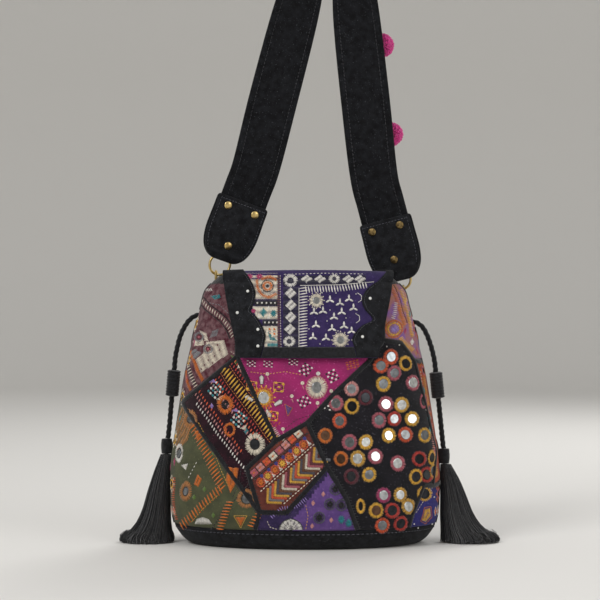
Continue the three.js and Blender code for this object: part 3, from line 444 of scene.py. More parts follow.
def seam_segments(patches):
    """Each seam between two patches once, as a pair of corner names."""
    found = []
    for corners in patches.values():
        names = corners.split()
        for first, second in zip(names, names[1:] + names[:1]):
            pair = tuple(sorted((first, second)))
            outside = SEAM[first][1] == SEAM[second][1] == 0 or {first, second} <= OUTER_CORNERS
            if pair not in found and not outside:
                found.append(pair)
    return found


SEAMS = {-1: seam_segments(FRONT_PATCHES), 1: seam_segments(BACK_PATCHES)}
SWELL = 2.1
SWELL_WIDTH = 9.0
BUCKLE = 0.55
SLIDER_PATH = (97.0, 203.0)


def seam_distance(x, z, side):
    """Distance in mm, seen square from the front or back, to the nearest seam, or 60 where none is near."""
    nearest = np.full(np.shape(x), 60.0)
    for first, second in SEAMS[side]:
        start, end = np.array(SEAM[first], float), np.array(SEAM[second], float)
        run = end - start
        share = np.clip(((x - start[0]) * run[0] + (z - start[1]) * run[1]) / (run @ run), 0, 1)
        nearest = np.minimum(nearest, np.hypot(x - start[0] - share * run[0], z - start[1] - share * run[1]))
    return nearest


def slider_room(y, z):
    """How much of the full swell is left beside a slider's path: a tenth at the side lines."""
    beside = np.clip(np.minimum(z - SLIDER_PATH[0], SLIDER_PATH[1] - z) / 8, 0, 1)
    return 1 - beside * (1 - np.clip((np.abs(y) - 8) / 14, 0.1, 1))


def swell(angle, z):
    """How far the patchwork stands out: S (1 - e^(-d/w)) at a distance d from its seams, with soft buckles
    that fade out under the flap."""
    half_width, half_depth = body_section(z)
    x = half_width * np.sin(angle)
    front = np.cos(angle) > 0
    distance = np.where(front, seam_distance(x, z, -1), seam_distance(x, z, 1))
    edge = np.clip(np.minimum(z - BASE_HEIGHT, BODY_HEIGHT - z) / 12, 0, 1)
    side_line = half_depth * np.abs(np.cos(angle))
    distance = np.minimum(distance, side_line + 2)
    buckle = np.sin(x / 13 + z / 9) * np.sin(z / 17 - x / 29) + 0.6 * np.sin(x / 7.3 - z / 6.1)
    full = SWELL * (1 - np.exp(-distance / SWELL_WIDTH)) * edge
    buckled = BUCKLE * buckle * edge * np.clip(distance / 8, 0, 1) * np.where(z > 180, 0.4, 1.0)
    return (full + buckled) * slider_room(side_line, z)


def cloth_point(angle, z, lift=0.0):
    """The patchwork's outer face."""
    return oval(angle, z, -(swell(angle, z) + lift))


def inside(x, z, corners):
    """Whether places lie inside a polygon: an odd number of its edges cross the line to their right."""
    odd = np.zeros(np.shape(x), dtype=bool)
    for (x1, z1), (x2, z2) in zip(corners, corners[1:] + corners[:1]):
        if z1 != z2:
            crosses = (z1 > z) != (z2 > z)
            odd ^= crosses & (x < (x2 - x1) * (z - z1) / (z2 - z1) + x1)
    return odd


# Patches
# Pieces of old embroidered cotton, each of its own ground cloth: coarse plain weaves, matt, soft with wear
# and a little uneven in dye. A thread is drawn 1.3 mm wide, coarser than the real one, so that it shows.
CLOTH_CELL = 2.0
CLOTH_THREAD = 1.3
PATCH_THICKNESS = 1.1
SLOT_HALF_WIDTH = 6.0
SLOT_HALF_HEIGHT = 4.2
TUNNEL_HEIGHTS = {-1: 227.0, 1: 220.0}


def woven_cloth(name, colour, other, spot_mm=9.0, thread_mm=CLOTH_THREAD, depth_mm=0.16, speck=None):
    """Plain-woven cotton: two dyes mottled together, a fine bump of crossing threads painted lighter on top
    and darker in the gaps as shade, and worn specks.
    """
    material, shader = new_material(name, colour, 0.88, sheen=0.12)
    place = object_coordinates(material)
    chart = add(material, "ShaderNodeUVMap", uv_map="chart").outputs["UV"]
    tint = mottle(material, place, spot_mm, colour, other)
    wave = {"Vector": chart, "Scale": 100 * np.pi / thread_mm, "Distortion": 0.6, "Detail": 1.0}
    threads = [add(material, "ShaderNodeTexWave", wave, bands_direction=axis) for axis in ("X", "Y")]
    crossing = add(material, "ShaderNodeMath", {0: threads[0].outputs["Fac"], 1: threads[1].outputs["Fac"]},
                   operation="MULTIPLY")
    # Painted shade: the crossings are lighter and the gaps between threads darker, following the bump.
    shade = add(material, "ShaderNodeMapRange", {"Value": crossing.outputs[0], "To Min": 0.72,
                                                 "To Max": 1.12})
    woven = add(material, "ShaderNodeVectorMath", {0: tint, "Scale": shade.outputs["Result"]},
                operation="SCALE")
    top = woven.outputs["Vector"]
    if speck:
        dots = add(material, "ShaderNodeTexNoise", {"Vector": place, "Scale": 1000 / 1.6, "Detail": 2.0})
        few = add(material, "ShaderNodeMapRange", {"Value": dots.outputs["Fac"], "From Min": 0.66,
                                                   "From Max": 0.72})
        top = add(material, "ShaderNodeMix", {0: few.outputs["Result"], 6: top, 7: linear(speck)},
                  data_type="RGBA").outputs[2]
    join(material, top, shader, "Base Color")
    relief(material, shader, crossing.outputs[0], depth_mm)
    return material


# Each patch's part of the palette, then its cloth's name, two dyes, the size of its spots and its specks.
CLOTHS = {
    "floral": ("cream_maroon_cloth", "printed wine cotton", "#4A1826", "#7A5A5E", 5.0, "#24101A"),
    "rung_band": ("dark_maroon_cloth", "black maroon cotton", "#1C0C14", "#30121E", 8.0, "#60303C"),
    "magenta": ("magenta_cloth", "magenta silk cotton", "#A62C6C", "#8E2A60", 16.0, "#C05A90"),
    "mirror": ("black_mirror_cloth", "black cotton", "#141317", "#1E1C22", 12.0, "#56535C"),
    "olive": ("olive_cloth", "olive cotton", "#56583E", "#474A36", 10.0, "#6C6A4C"),
    "chevron": ("chevron_cloth", "rust cotton", "#5A2B26", "#6E3A30", 8.0, None),
    "purple": ("purple_cloth", "violet wool cloth", "#2E2447", "#3D3058", 6.0, "#5A4C72"),
    "lilac": ("lilac_cloth", "lilac and gold cotton", "#8A62A0", "#B07858", 9.0, None),
    "side_strip": ("orange_cloth", "orange cotton", "#B4562A", "#8E3A3A", 6.0, "#D8A050"),
    "blue": ("blue_cloth", "indigo cotton", "#33307A", "#2B2966", 9.0, "#5A58A0"),
    "back_teal": ("teal_cloth", "teal cotton", "#1F5A5C", "#184A50", 11.0, "#3F8084"),
    "back_maroon": ("dark_maroon_cloth", "wine cotton", "#6A2236", "#56202F", 10.0, "#8A4A58"),
    "back_ochre": ("ochre_cloth", "ochre cotton", "#A87A2C", "#946524", 9.0, "#C8A050"),
    "back_violet": ("purple_cloth", "plum cotton", "#432C5E", "#37264E", 10.0, "#66508A"),
}

LILAC_ZONE = [(-20, 20), (24, 78), (42, 52), (60, -5), (-24, -5)]
BRICK_ZONE = [(-64, 90), (2, 131), (9, 110), (-52, 62)]

around_steps = round(2 * np.pi * math.sqrt((BODY_WIDTH**2 + BODY_DEPTH**2) / 8) / CLOTH_CELL)
up_steps = round((BODY_HEIGHT - BASE_HEIGHT) / CLOTH_CELL)
angles = np.linspace(-np.pi, np.pi, around_steps + 1)[:-1]
levels = np.linspace(BASE_HEIGHT + LAYER_GAP, BODY_HEIGHT - LAYER_GAP, up_steps + 1)
angle_grid, level_grid = np.meshgrid(angles, levels)
cloth_grid = cloth_point(angle_grid, level_grid)
arc_steps = np.linalg.norm(np.roll(cloth_grid, -1, axis=1) - cloth_grid, axis=2)
arc_grid = np.cumsum(arc_steps, axis=1) - arc_steps
chart_grid = np.stack([arc_grid, level_grid], axis=-1)

middle_angles = angles + (angles[1] - angles[0]) / 2
cell_angle, cell_level = np.meshgrid(middle_angles, (levels[:-1] + levels[1:]) / 2)
cell_x = body_section(cell_level)[0] * np.sin(cell_angle)
cell_y = -body_section(cell_level)[1] * np.cos(cell_angle)
cell_side = np.where(cell_y < 0, -1, 1)
in_slot = np.zeros_like(cell_x, dtype=bool)
for sign, slot_height in TUNNEL_HEIGHTS.items():
    beside_slot, above_slot = cell_y / SLOT_HALF_WIDTH, (cell_level - slot_height) / SLOT_HALF_HEIGHT
    in_slot |= (beside_slot**4 + above_slot**4 < 1) & (np.sign(cell_x) == sign)


def add_patch(name, corners, side, zones=()):
    """The cells of the body's grid that lie inside a patch's outline, as one cloth with a turned-in wall."""
    outline = [SEAM[corner] for corner in corners.split()]
    chosen = inside(cell_x, cell_level, outline) & (cell_side == side) & ~in_slot
    rows, columns = np.nonzero(chosen)
    following = (columns + 1) % around_steps
    index = np.stack([rows * around_steps + columns, rows * around_steps + following,
                      (rows + 1) * around_steps + following, (rows + 1) * around_steps + columns], axis=1)
    used, local = np.unique(index, return_inverse=True)
    numbers = np.zeros(len(rows), dtype=np.int32)
    slot, *cloth, speck = CLOTHS[name]
    materials = [woven_cloth(*cloth, speck=speck)]
    for zone, material in zones:
        numbers[inside(cell_x[rows, columns], cell_level[rows, columns], zone)] = len(materials)
        materials.append(material)
    mesh = make_mesh(f"cloth_{name}", cloth_grid.reshape(-1, 3)[used], local.reshape(index.shape).tolist(),
                     materials, numbers, chart=chart_grid.reshape(-1, 2)[used])
    piece = finish_piece(f"cloth_{name}", mesh, "bag", [f"patch_{name}"])
    wall = piece.modifiers.new("thickness", "SOLIDIFY")
    wall.thickness = PATCH_THICKNESS * MM
    wall.offset = -1


lilac_cloth = woven_cloth("lilac silk cotton", "#6C4E8C", "#5C4180", 8.0, speck="#8A6CA8")
brick_cloth = woven_cloth("brick cotton", "#7C3F33", "#5E2C2A", 5.0)
PATCH_ZONES = {"purple": [(LILAC_ZONE, lilac_cloth)], "chevron": [(BRICK_ZONE, brick_cloth)]}
for patch_name, patch_corners in FRONT_PATCHES.items():
    add_patch(patch_name, patch_corners, -1, PATCH_ZONES.get(patch_name, ()))
for patch_name, patch_corners in BACK_PATCHES.items():
    add_patch(patch_name, patch_corners, 1)

# Seam tapes
# Every seam of the patchwork is covered by a narrow black cotton tape, whipped down with black yarn.
TAPE_WIDTH = 5.0
TAPE_HEIGHT = 1.5
HEART = np.array([0.0, 0.0, 120.0])
tape_cotton = grained("black cotton tape", "#0F0F11", 0.8, (2.2, "#08080A", "#1E1E22"), (0.9, 0.3), sheen=0.3)


def normals_of(ground, drawing):
    """Outward normals of a ground: the cross product of its two differences over half a unit of drawing."""
    across, up = np.array([0.5, 0.0]), np.array([0.0, 0.5])
    normal = unit(np.cross(ground(drawing + across) - ground(drawing - across),
                           ground(drawing + up) - ground(drawing - up)))
    outward = np.sum(normal * (ground(drawing) - HEART), axis=-1, keepdims=True)
    return np.where(outward < 0, -normal, normal)


def round_ground(drawing):
    """The body's cloth, drawn on by angle in degrees from the front and height in mm."""
    return cloth_point(np.radians(drawing[..., 0]), drawing[..., 1])


def seam_line(first, second, side):
    """A seam as angles in degrees and heights, where it lies on the body."""
    share = np.linspace(0, 1, 60)[:, None]
    run = np.array(SEAM[first]) * (1 - share) + np.array(SEAM[second]) * share
    half_width = body_section(np.clip(run[:, 1], 0, BODY_HEIGHT))[0]
    on_body = (np.abs(run[:, 0]) < half_width) & (run[:, 1] > BASE_HEIGHT + 1) & (run[:, 1] < BODY_HEIGHT - 5)
    bent = np.degrees(np.arcsin(run[on_body, 0] / half_width[on_body]))
    return np.stack([bent if side < 0 else 180 - bent, run[on_body, 1]], axis=1)


def evenly(path, pitch):
    """The path's points again, at an even pitch along it."""
    lengths = np.concatenate([[0], np.cumsum(np.linalg.norm(np.diff(path, axis=0), axis=1))])
    count = max(int(round(lengths[-1] / pitch)), 2)
    at = np.linspace(0, lengths[-1], count + 1)
    return np.stack([np.interp(at, lengths, path[:, k]) for k in range(path.shape[1])], axis=1)


def tape(ground, line, width, height):
    """A low rounded strip along a line of a ground: an ellipse cut off at its foot, carried along."""
    path = ground(line)
    normal = normals_of(ground, line)
    side = unit(np.cross(normal, slopes(path)))
    around = circle(10)
    across = width / 2 * np.cos(around)
    height = height * np.maximum(slider_room(path[:, 1], path[:, 2]), 0.2)
    up = np.maximum(height[:, None] * np.sin(around), -0.5)
    return path[:, None, :] + side[:, None, :] * across[:, None] + normal[:, None, :] * up[..., None]


def join_tubes(groups):
    """Points and faces of several single tubes with the same number of points round them."""
    points, faces, start = [], [], 0
    for rings in groups:
        points.append(rings.reshape(-1, 3))
        faces += [tuple(start + i for i in face) for face in tube_faces(1, rings.shape[0], rings.shape[1])]
        start += rings.shape[0] * rings.shape[1]
    return np.concatenate(points), faces


seam_lines = [seam_line(*pair, side) for side, pairs in SEAMS.items() for pair in pairs]
SIDE_TAPE_TOP, SIDE_TAPE_STEPS = 258.0, 40
for sign, height in TUNNEL_HEIGHTS.items():
    slot_low, slot_high = height - SLOT_HALF_HEIGHT - 1, height + SLOT_HALF_HEIGHT + 1
    for low, high in ((BASE_HEIGHT, slot_low), (slot_high, SIDE_TAPE_TOP)):
        side_levels = np.linspace(low, high, SIDE_TAPE_STEPS)
        seam_lines.append(np.stack([np.full(SIDE_TAPE_STEPS, 90.0 * sign), side_levels], axis=1))
tape_points, tape_faces = join_tubes([tape(round_ground, line, TAPE_WIDTH, TAPE_HEIGHT)
                                      for line in seam_lines])
add_piece("seam_tapes", tape_points, tape_faces, tape_cotton, "bag", "black_cotton")

# Embroidery
# Six-strand cotton thread laid in short stitches, each a small plump grain. The same stitches make the
# fillings, the ladders, the running lines and the rings that hold the mirrors.
rng = np.random.default_rng(7)
THREADS = {
    "cream": "#D9CFBC", "white": "#DAD6CF", "orange": "#C8691E", "tan": "#A9713F", "yellow": "#D9A63A",
    "gold": "#C99A3E", "red": "#B4382E", "coral": "#D0552F", "pink": "#C98A86", "rose": "#B05A66",
    "magenta": "#A83A66", "maroon": "#5E1F2C", "brown": "#6A4326", "black": "#121114", "grey": "#77787C",
    "slate": "#4A4A54", "indigo": "#3A3A80", "night": "#1C1830", "teal": "#1F7A82", "green": "#5E7A34",
    "lilac": "#9078B8", "violet": "#5A3F78", "charcoal": "#26252A",
}
embroidery_cotton = toned("stranded embroidery cotton", "#D9CFBC", 0.55, (0.8, 0.15), (0.78, 1.08), sheen=0.3)

# Mirror discs are thin silvered glass about 9 mm across, cut by hand. Each disc's colour is a painted
# reflection (white, grey, dark, shiny or brown), and a random cloud varies it.
mirror_glass, mirror_shader = new_material("silvered mirror glass", "#C8CCD0", 0.16, metallic=1.0)
glass_tone = add(mirror_glass, "ShaderNodeAttribute", attribute_name="tone").outputs["Color"]
glass_cloud = add(mirror_glass, "ShaderNodeTexNoise",
                  {"Vector": object_coordinates(mirror_glass), "Scale": 1000 / 4.0, "Detail": 4.0})
cloud_share = add(mirror_glass, "ShaderNodeMapRange",
                  {"Value": glass_cloud.outputs["Fac"], "From Min": 0.35, "From Max": 0.65, "To Min": 0.62,
                   "To Max": 1.1})
cloudy = add(mirror_glass, "ShaderNodeVectorMath", {0: glass_tone, "Scale": cloud_share.outputs["Result"]},
             operation="SCALE")
join(mirror_glass, cloudy.outputs["Vector"], mirror_shader, "Base Color")
PAINTED_REFLECTIONS = {"white": "#E8EAEA", "grey": "#8C8F92", "dark": "#38393C", "shiny": "#B8BABC", "brown": "#6A5040"}

LONGEST_STITCH = 7.0


def spokes(turn):
    """Directions of length 1 in a drawing, at angles in radians."""
    return np.stack([np.cos(turn), np.sin(turn)], axis=1)


class Needlework:
    """The stitches and mirrors of one piece of cloth, drawn in the flat coordinates of its ground."""

    def __init__(self, ground, normals=normals_of):
        self.ground = ground
        self.normals = normals
        self.stitches = []
        self.glass = []

    def sew(self, starts, ends, thread, width=0.9, height=0.45):
        """Straight stitches between pairs of places."""
        starts, ends = np.atleast_2d(starts), np.atleast_2d(ends)
        self.stitches.append((starts, ends, np.full(len(starts), width), np.full(len(starts), height),
                              np.tile(linear(THREADS[thread]), (len(starts), 1))))

    def ring(self, centre, inner, outer, thread, pitch=1.15):
        """Stitches side by side round a ring, each pointing at its middle. Radii are (across, up)."""
        inner, outer = np.broadcast_to(inner, 2), np.broadcast_to(outer, 2)
        count = max(int(np.pi * (inner + outer).sum() / 2 / pitch), 10)
        turn = circle(count) + rng.uniform(-0.04, 0.04, count)
        spoke = spokes(turn)
        reach = outer * rng.uniform(0.96, 1.05, (count, 1))
        self.sew(centre + spoke * inner, centre + spoke * reach, thread, pitch * 1.15, 0.75)

    def mirror(self, centre, radius, rim, thread, tone="grey"):
        """A mirror disc held by a ring of stitches that laps its edge; its tone is the painted reflection it
        shows.
        """
        radius = np.broadcast_to(radius, 2).astype(float)
        self.glass.append((np.array(centre, float), radius, linear(PAINTED_REFLECTIONS[tone])))
        self.ring(centre, radius * 0.9, radius + rim, thread)

    def satin(self, corners, thread, slant=0.0, pitch=0.85, height=0.5):
        """Fills a polygon with parallel stitches: each lies where a sloping line crosses the polygon."""
        corners = np.asarray(corners, dtype=float)
        slant = math.radians(slant)
        along = np.array([math.cos(slant), math.sin(slant)])
        square = np.array([-along[1], along[0]])
        u, v = corners @ along, corners @ square
        steps = np.arange(v.min() + pitch / 2, v.max(), pitch)
        low, high = np.full(len(steps), np.inf), np.full(len(steps), -np.inf)
        for i in range(len(corners)):
            j = (i + 1) % len(corners)
            if abs(v[j] - v[i]) > 1e-9:
                share = (steps - v[i]) / (v[j] - v[i])
                crossing = np.where((share >= 0) & (share <= 1), u[i] + (u[j] - u[i]) * share, np.nan)
                low, high = np.fmin(low, crossing), np.fmax(high, crossing)
        real = high - low > 0.3
        start = low[real, None] * along + steps[real, None] * square
        end = high[real, None] * along + steps[real, None] * square
        pieces = np.ceil(np.linalg.norm(end - start, axis=1) / LONGEST_STITCH).astype(int)
        line = np.repeat(np.arange(len(start)), pieces)
        number = np.arange(len(line)) - np.repeat(np.cumsum(pieces) - pieces, pieces)
        step = (end - start)[line] / pieces[line, None]
        begin = start[line] + step * number[:, None]
        self.sew(begin, begin + step * 1.04, thread, pitch * 1.25, height)

    def ladder(self, points, half, thread, pitch=2.0, width=1.1, slant=0.0, height=0.6):
        """Rungs across a line, each half long to either side, leaning along the line by slant."""
        path = evenly(np.asarray(points, dtype=float), pitch)
        along = slopes(path)
        square = np.stack([-along[:, 1], along[:, 0]], axis=1) + along * slant
        reach = half * rng.uniform(0.88, 1.08, (len(path), 1))
        self.sew(path - square * reach, path + square * reach, thread, width, height)

    def running(self, points, thread, stitch=1.6, gap=1.2, width=0.8, height=0.45):
        """Running stitch: short dashes along a line."""
        path = evenly(np.asarray(points, dtype=float), stitch + gap)
        along = slopes(path)
        self.sew(path - along * stitch / 2, path + along * stitch / 2, thread, width, height)

    def outline(self, corners, thread, width=0.7, closed=True):
        """Back stitch along the edges of a shape."""
        corners = np.asarray(corners, dtype=float)
        ends = np.roll(corners, -1, axis=0) if closed else corners[1:]
        starts = corners if closed else corners[:-1]
        for start, end in zip(starts, ends):
            path = evenly(np.stack([start, end]), 2.0)
            self.sew(path[:-1], path[1:], thread, width, 0.55)

    def dots(self, places, thread, size=1.6):
        """French knots: very short thick stitches."""
        places = np.atleast_2d(np.asarray(places, dtype=float))
        self.sew(places - [size * 0.32, 0], places + [size * 0.32, 0], thread, size, size * 0.5)

    def diamond(self, centre, across, up, thread, slant=0.0):
        """A satin diamond."""
        x, y = centre
        self.satin([(x - across, y), (x, y - up), (x + across, y), (x, y + up)], thread, slant)

    def grid(self, centre, across, up, turn, threads, cells=3):
        """A small check of short satin blocks in two threads, turned by an angle in degrees."""
        turn = math.radians(turn)
        axes = np.array([[math.cos(turn), math.sin(turn)], [-math.sin(turn), math.cos(turn)]])
        steps = (np.arange(cells) + 0.5) / cells * 2 - 1
        for k, thread in enumerate(threads):
            places = [(i, j) for a, i in enumerate(steps) for b, j in enumerate(steps) if (a + b) % 2 == k]
            places = np.array(places) * [across, up] @ axes + centre
            half = axes[0] * across / cells * 0.78
            self.sew(places - half, places + half, thread, up / cells * 1.5, 0.5)

    def follow(self, steps):
        """Works through a list of steps, each the name of a stitch and then what it takes."""
        for stitch, *details in steps:
            getattr(self, stitch)(*details)

    def finish(self, name, body, slot):
        """Lays every stitch on the ground. A stitch is a tube of three four-sided rings, thin at its ends
        and full at its middle."""
        starts, ends, widths, heights, tones = (np.concatenate(part) for part in zip(*self.stitches))
        places = starts[:, None, :] + (ends - starts)[:, None, :] * np.array([0.0, 0.5, 1.0])[:, None]
        centre = self.ground(places)
        normal = self.normals(self.ground, places[:, 1])
        side = unit(np.cross(normal, centre[:, 2] - centre[:, 0]))
        full = np.array([0.5, 1.0, 0.5])[None, :, None] * np.array([-0.5, -0.27, 0.27, 0.5])
        rise = np.array([0.3, 1.0, 0.3])[None, :, None] * np.array([-0.2, 1.0, 1.0, -0.2])
        rings = centre[:, :, None, :] + side[:, None, None, :] * (full * widths[:, None, None])[..., None]
        rings = rings + normal[:, None, None, :] * (rise * heights[:, None, None])[..., None]
        shade = rng.uniform(0.82, 1.12, (len(starts), 1)) * np.ones((1, 3))
        tones = np.concatenate([tones[:, :3] * shade, tones[:, 3:]], axis=1)
        add_piece(name, rings, tube_faces(len(starts), 3, 4), embroidery_cotton, body, slot,
                  tones=np.repeat(tones, 12, axis=0))
        if self.glass:
            self.finish_glass(f"{name}_mirrors", body)

    def finish_glass(self, name, body):
        """Flat discs that stand on the ground's tangent plane: centre + r (across cos q + up sin q)."""
        centres, radii, tones = (np.array(part) for part in zip(*self.glass))
        middle = self.ground(centres)
        normal = self.normals(self.ground, centres)
        normal = unit(normal + rng.normal(0, 0.06, normal.shape))
        across = self.ground(centres + radii * [1, 0]) - self.ground(centres - radii * [1, 0])
        up = self.ground(centres + radii * [0, 1]) - self.ground(centres - radii * [0, 1])
        turn = circle(24)
        rows = []
        for reach, lift in ((1.03, -0.4), (1.03, 0.35), (0.93, 0.55)):
            disc = across[:, None, :] * np.cos(turn)[:, None] + up[:, None, :] * np.sin(turn)[:, None]
            disc = disc - np.sum(disc * normal[:, None, :], axis=2, keepdims=True) * normal[:, None, :]
            rows.append(middle[:, None, :] + disc * reach / 2 + normal[:, None, :] * lift)
        rings = np.stack(rows, axis=1)
        mesh = make_mesh(name, rings.reshape(-1, 3), tube_faces(len(centres), 3, 24), [mirror_glass],
                         tones=np.repeat(tones, 72, axis=0))
        for polygon in mesh.polygons:
            polygon.use_smooth = len(polygon.vertices) == 4
        finish_piece(name, mesh, body)


WIDEST_SHARE = 0.985
SIGHT_STEPS = 8


def front_ground(drawing):
    """The body's front, drawn on in picture points: where each line of sight meets the cloth, found by
    stepping between the oval's depth and the line."""
    rays = sight(drawing)
    depth = np.full(drawing.shape[:-1], -BODY_DEPTH / 2)
    for step in range(SIGHT_STEPS):
        place = EYE + rays * (depth - EYE[1])[..., None]
        level = np.clip(place[..., 2], 1.0, BODY_HEIGHT - 1)
        half_width, half_depth = body_section(level)
        share = np.clip(place[..., 0] / half_width, -WIDEST_SHARE, WIDEST_SHARE)
        depth = -half_depth * np.sqrt(1 - share**2)
    return cloth_point(np.arcsin(share), level)


# Black mirror patch: flowers of small mirrors, each ringed in its own thread and given a painted reflection
# as its tone. Places are picture points.
ROUND = np.array([4.4, 5.0])
mirror_work = Needlework(front_ground)
BLACK_PATCH_MIRRORS = {
    ("coral", "grey"): [(389.7, 356.8), (379.8, 365.6), (339, 420.7), (382, 525.5)],
    ("rose", "grey"): [(392.7, 373), (377.8, 420.2), (348.7, 442), (335.7, 403)],
    ("yellow", "dark"): [(404.4, 363.4), (351, 406.3), (414.7, 476.7), (423.8, 493.6)],
    ("yellow", "grey"): [(382.2, 384), (423.5, 435), (368, 474.5)],
    ("rose", "white"): [(412, 382.8), (384.6, 404), (374.3, 456.2), (396.6, 463.2)],
    ("pink", "shiny"): [(350.9, 388.7)],
    ("maroon", "dark"): [(364.3, 397.5), (350.9, 476.3)],
    ("orange", "brown"): [(325, 435.6), (340.4, 458.6)],
    ("yellow", "white"): [(399.8, 404.8), (410.6, 418.7), (364.8, 442), (387.4, 435.3)],
    ("red", "dark"): [(391, 510.4), (417.9, 458.8), (426, 474.5), (400.3, 523.6)],
    ("red", "shiny"): [(393.2, 418.7)],
    ("coral", "shiny"): [(403.7, 434.4)],
    ("gold", "white"): [(357, 458.4), (399, 494.6), (407.3, 506.3)],
    ("magenta", "shiny"): [(382.4, 495)],
    ("yellow", "brown"): [(375, 510.4)],
}
for (thread, tone), places in BLACK_PATCH_MIRRORS.items():
    for place in places:
        mirror_work.mirror(place, ROUND * rng.uniform(0.94, 1.06), 3.0, thread, tone)
EDGE_MIRRORS = {("rose", "dark"): (423, 401), ("yellow", "dark"): (430.6, 457.3),
                ("gold", "grey"): (433, 471)}
for (thread, tone), place in EDGE_MIRRORS.items():
    mirror_work.mirror(place, (2.6, 4.8), (1.8, 3.0), thread, tone)
SEAM_CRESCENT = (360, 506)
WHITE_KNOTS = [(390, 340.6), (386, 346.5), (399, 345), (372, 352)]
mirror_work.ring(SEAM_CRESCENT, (2.0, 4.5), (4.6, 7.5), "yellow")
mirror_work.dots(WHITE_KNOTS, "white", 1.8)
mirror_work.finish("embroidery_mirror", "bag", "black_mirror_cloth")

# Base, foundation, lining and rim
# The base is a shallow bowl of black suede round a stiff board. Foundation cloth with wadding stands in
# it, a satin lining hangs inside, and a folded cotton strip binds the rim.
FOUNDATION_INSET, FOUNDATION_INNER = 1.5, 3.5
FOUNDATION_LOW, FOUNDATION_TOP = 20.3, 264.9
LINING_THICKNESS = 0.8
SUEDE_NAP = 1.1
BASE_SIDES, FOUNDATION_SIDES, LINING_SIDES, BINDING_SIDES = 180, 120, 160, 220
DRAWCORD_INSET, DRAWCORD_STEPS = 7.5, 260


def suede(name, colour, worn):
    """Napped leather: matt and nearly black, with a soft sheen, patchy nap and scattered pale lint."""
    material, shader = new_material(name, colour, 0.92, sheen=0.06, shine=0.1)
    place = object_coordinates(material)
    tint = mottle(material, place, 6.0, colour, worn, 5.0)
    lint = add(material, "ShaderNodeTexNoise", {"Vector": place, "Scale": 1000 / 1.1, "Detail": 1.0})
    few = add(material, "ShaderNodeMapRange", {"Value": lint.outputs["Fac"], "From Min": 0.7,
                                               "From Max": 0.76})
    specked = add(material, "ShaderNodeMix", {0: few.outputs["Result"], 6: tint, 7: linear("#4A4C50")},
                  data_type="RGBA")
    join(material, specked.outputs[2], shader, "Base Color")
    nap = add(material, "ShaderNodeTexNoise", {"Vector": place, "Scale": 1000 / SUEDE_NAP, "Detail": 4.0})
    relief(material, shader, nap.outputs["Fac"], 0.35)
    return material


black_suede = suede("black suede", "#141416", "#222326")
foundation_cloth = grained("wadded foundation cloth", "#3A3436", 0.95, (5.0, "#332D30", "#454042"),
                           (1.5, 0.4))
lining_satin = grained("lining satin", "#3A2440", 0.45, (25.0, "#2C1C32", "#44304C"), (1.2, 0.1), sheen=0.3,
                       shine=0.5)


def carried_round(profile, around=180, ripples=0, depth=0.0):
    """A profile of [height, inset] carried round the oval; depth cos(n q) ripples its wall."""
    turn = circle(around)
    profile = np.asarray(profile, dtype=float)
    angle, level = np.meshgrid(turn, profile[:, 0])
    inset = profile[:, 1][:, None] + depth * np.cos(ripples * angle) * (level > BODY_HEIGHT * 0.6)
    return oval(angle, level, inset)


def ring_faces(places, around):
    """Faces of a closed ring: points run round each place, and the last place joins the first."""
    row = np.arange(places)[:, None] * around
    following = ((np.arange(places) + 1) % places)[:, None] * around
    turn, turned = np.arange(around), (np.arange(around) + 1) % around
    corners = [row + turn, row + turned, following + turned, following + turn]
    return np.stack(corners, axis=-1).reshape(-1, 4).tolist()


def wall_rows(low, high, count, inset):
    """Rows of a wall's profile at one inset."""
    return [(z, inset) for z in np.linspace(low, high, count)]


base_rows = [(0.0, 60.0), (0.0, 25.0), (0.0, 1.5), (0.35, 0.5), (1.2, 0.0)] + wall_rows(2.5, 18.8, 14, -0.2)
base_rows += [(19.6, 0.0), (20.0, 0.7), (19.8, 1.6)] + wall_rows(18.5, 6.0, 6, 2.0) + [(2.0, 5.0),
                                                                                       (2.0, 60.0)]
add_piece("base_bowl", carried_round(base_rows, BASE_SIDES), tube_faces(1, len(base_rows), BASE_SIDES),
          black_suede,
          "bag", "black_suede", ["base_cover"])


foundation_rows = wall_rows(FOUNDATION_LOW, FOUNDATION_TOP, 30, FOUNDATION_INSET)
foundation_rows += wall_rows(FOUNDATION_TOP, FOUNDATION_LOW, 30, FOUNDATION_INNER)
add_piece("foundation", carried_round(foundation_rows, FOUNDATION_SIDES),
          ring_faces(len(foundation_rows), FOUNDATION_SIDES), foundation_cloth, "bag", "foundation_cloth",
          ["foundation_shell"])

LINING_ROWS = [(6.6, 60.0), (6.6, 11.0), (8.5, 7.2), (13, 5.3), (20.3, 3.8), (60, 4.2), (100, 3.9),
               (140, 4.3),
               (180, 4.0), (208, 3.9), (213, 4.6), (217, 9.0), (222, 11.0), (229, 11.0), (233, 9.0),
               (238, 4.6),
               (242, 3.9), (255, 3.8), (264.9, 3.8)]
lining_line = smooth_path(LINING_ROWS[2:], 3)
lining_outside = np.vstack([LINING_ROWS[:2], lining_line])
lining_inside = (lining_outside + [0, LINING_THICKNESS])[::-1]
lining_inside[-2:, 0] += LINING_THICKNESS
lining_profile = np.vstack([lining_outside, lining_inside])
add_piece("lining_bag", carried_round(lining_profile, LINING_SIDES, 27, 0.25),
          tube_faces(1, len(lining_profile), LINING_SIDES), lining_satin, "bag", "lining_cloth", ["lining"])

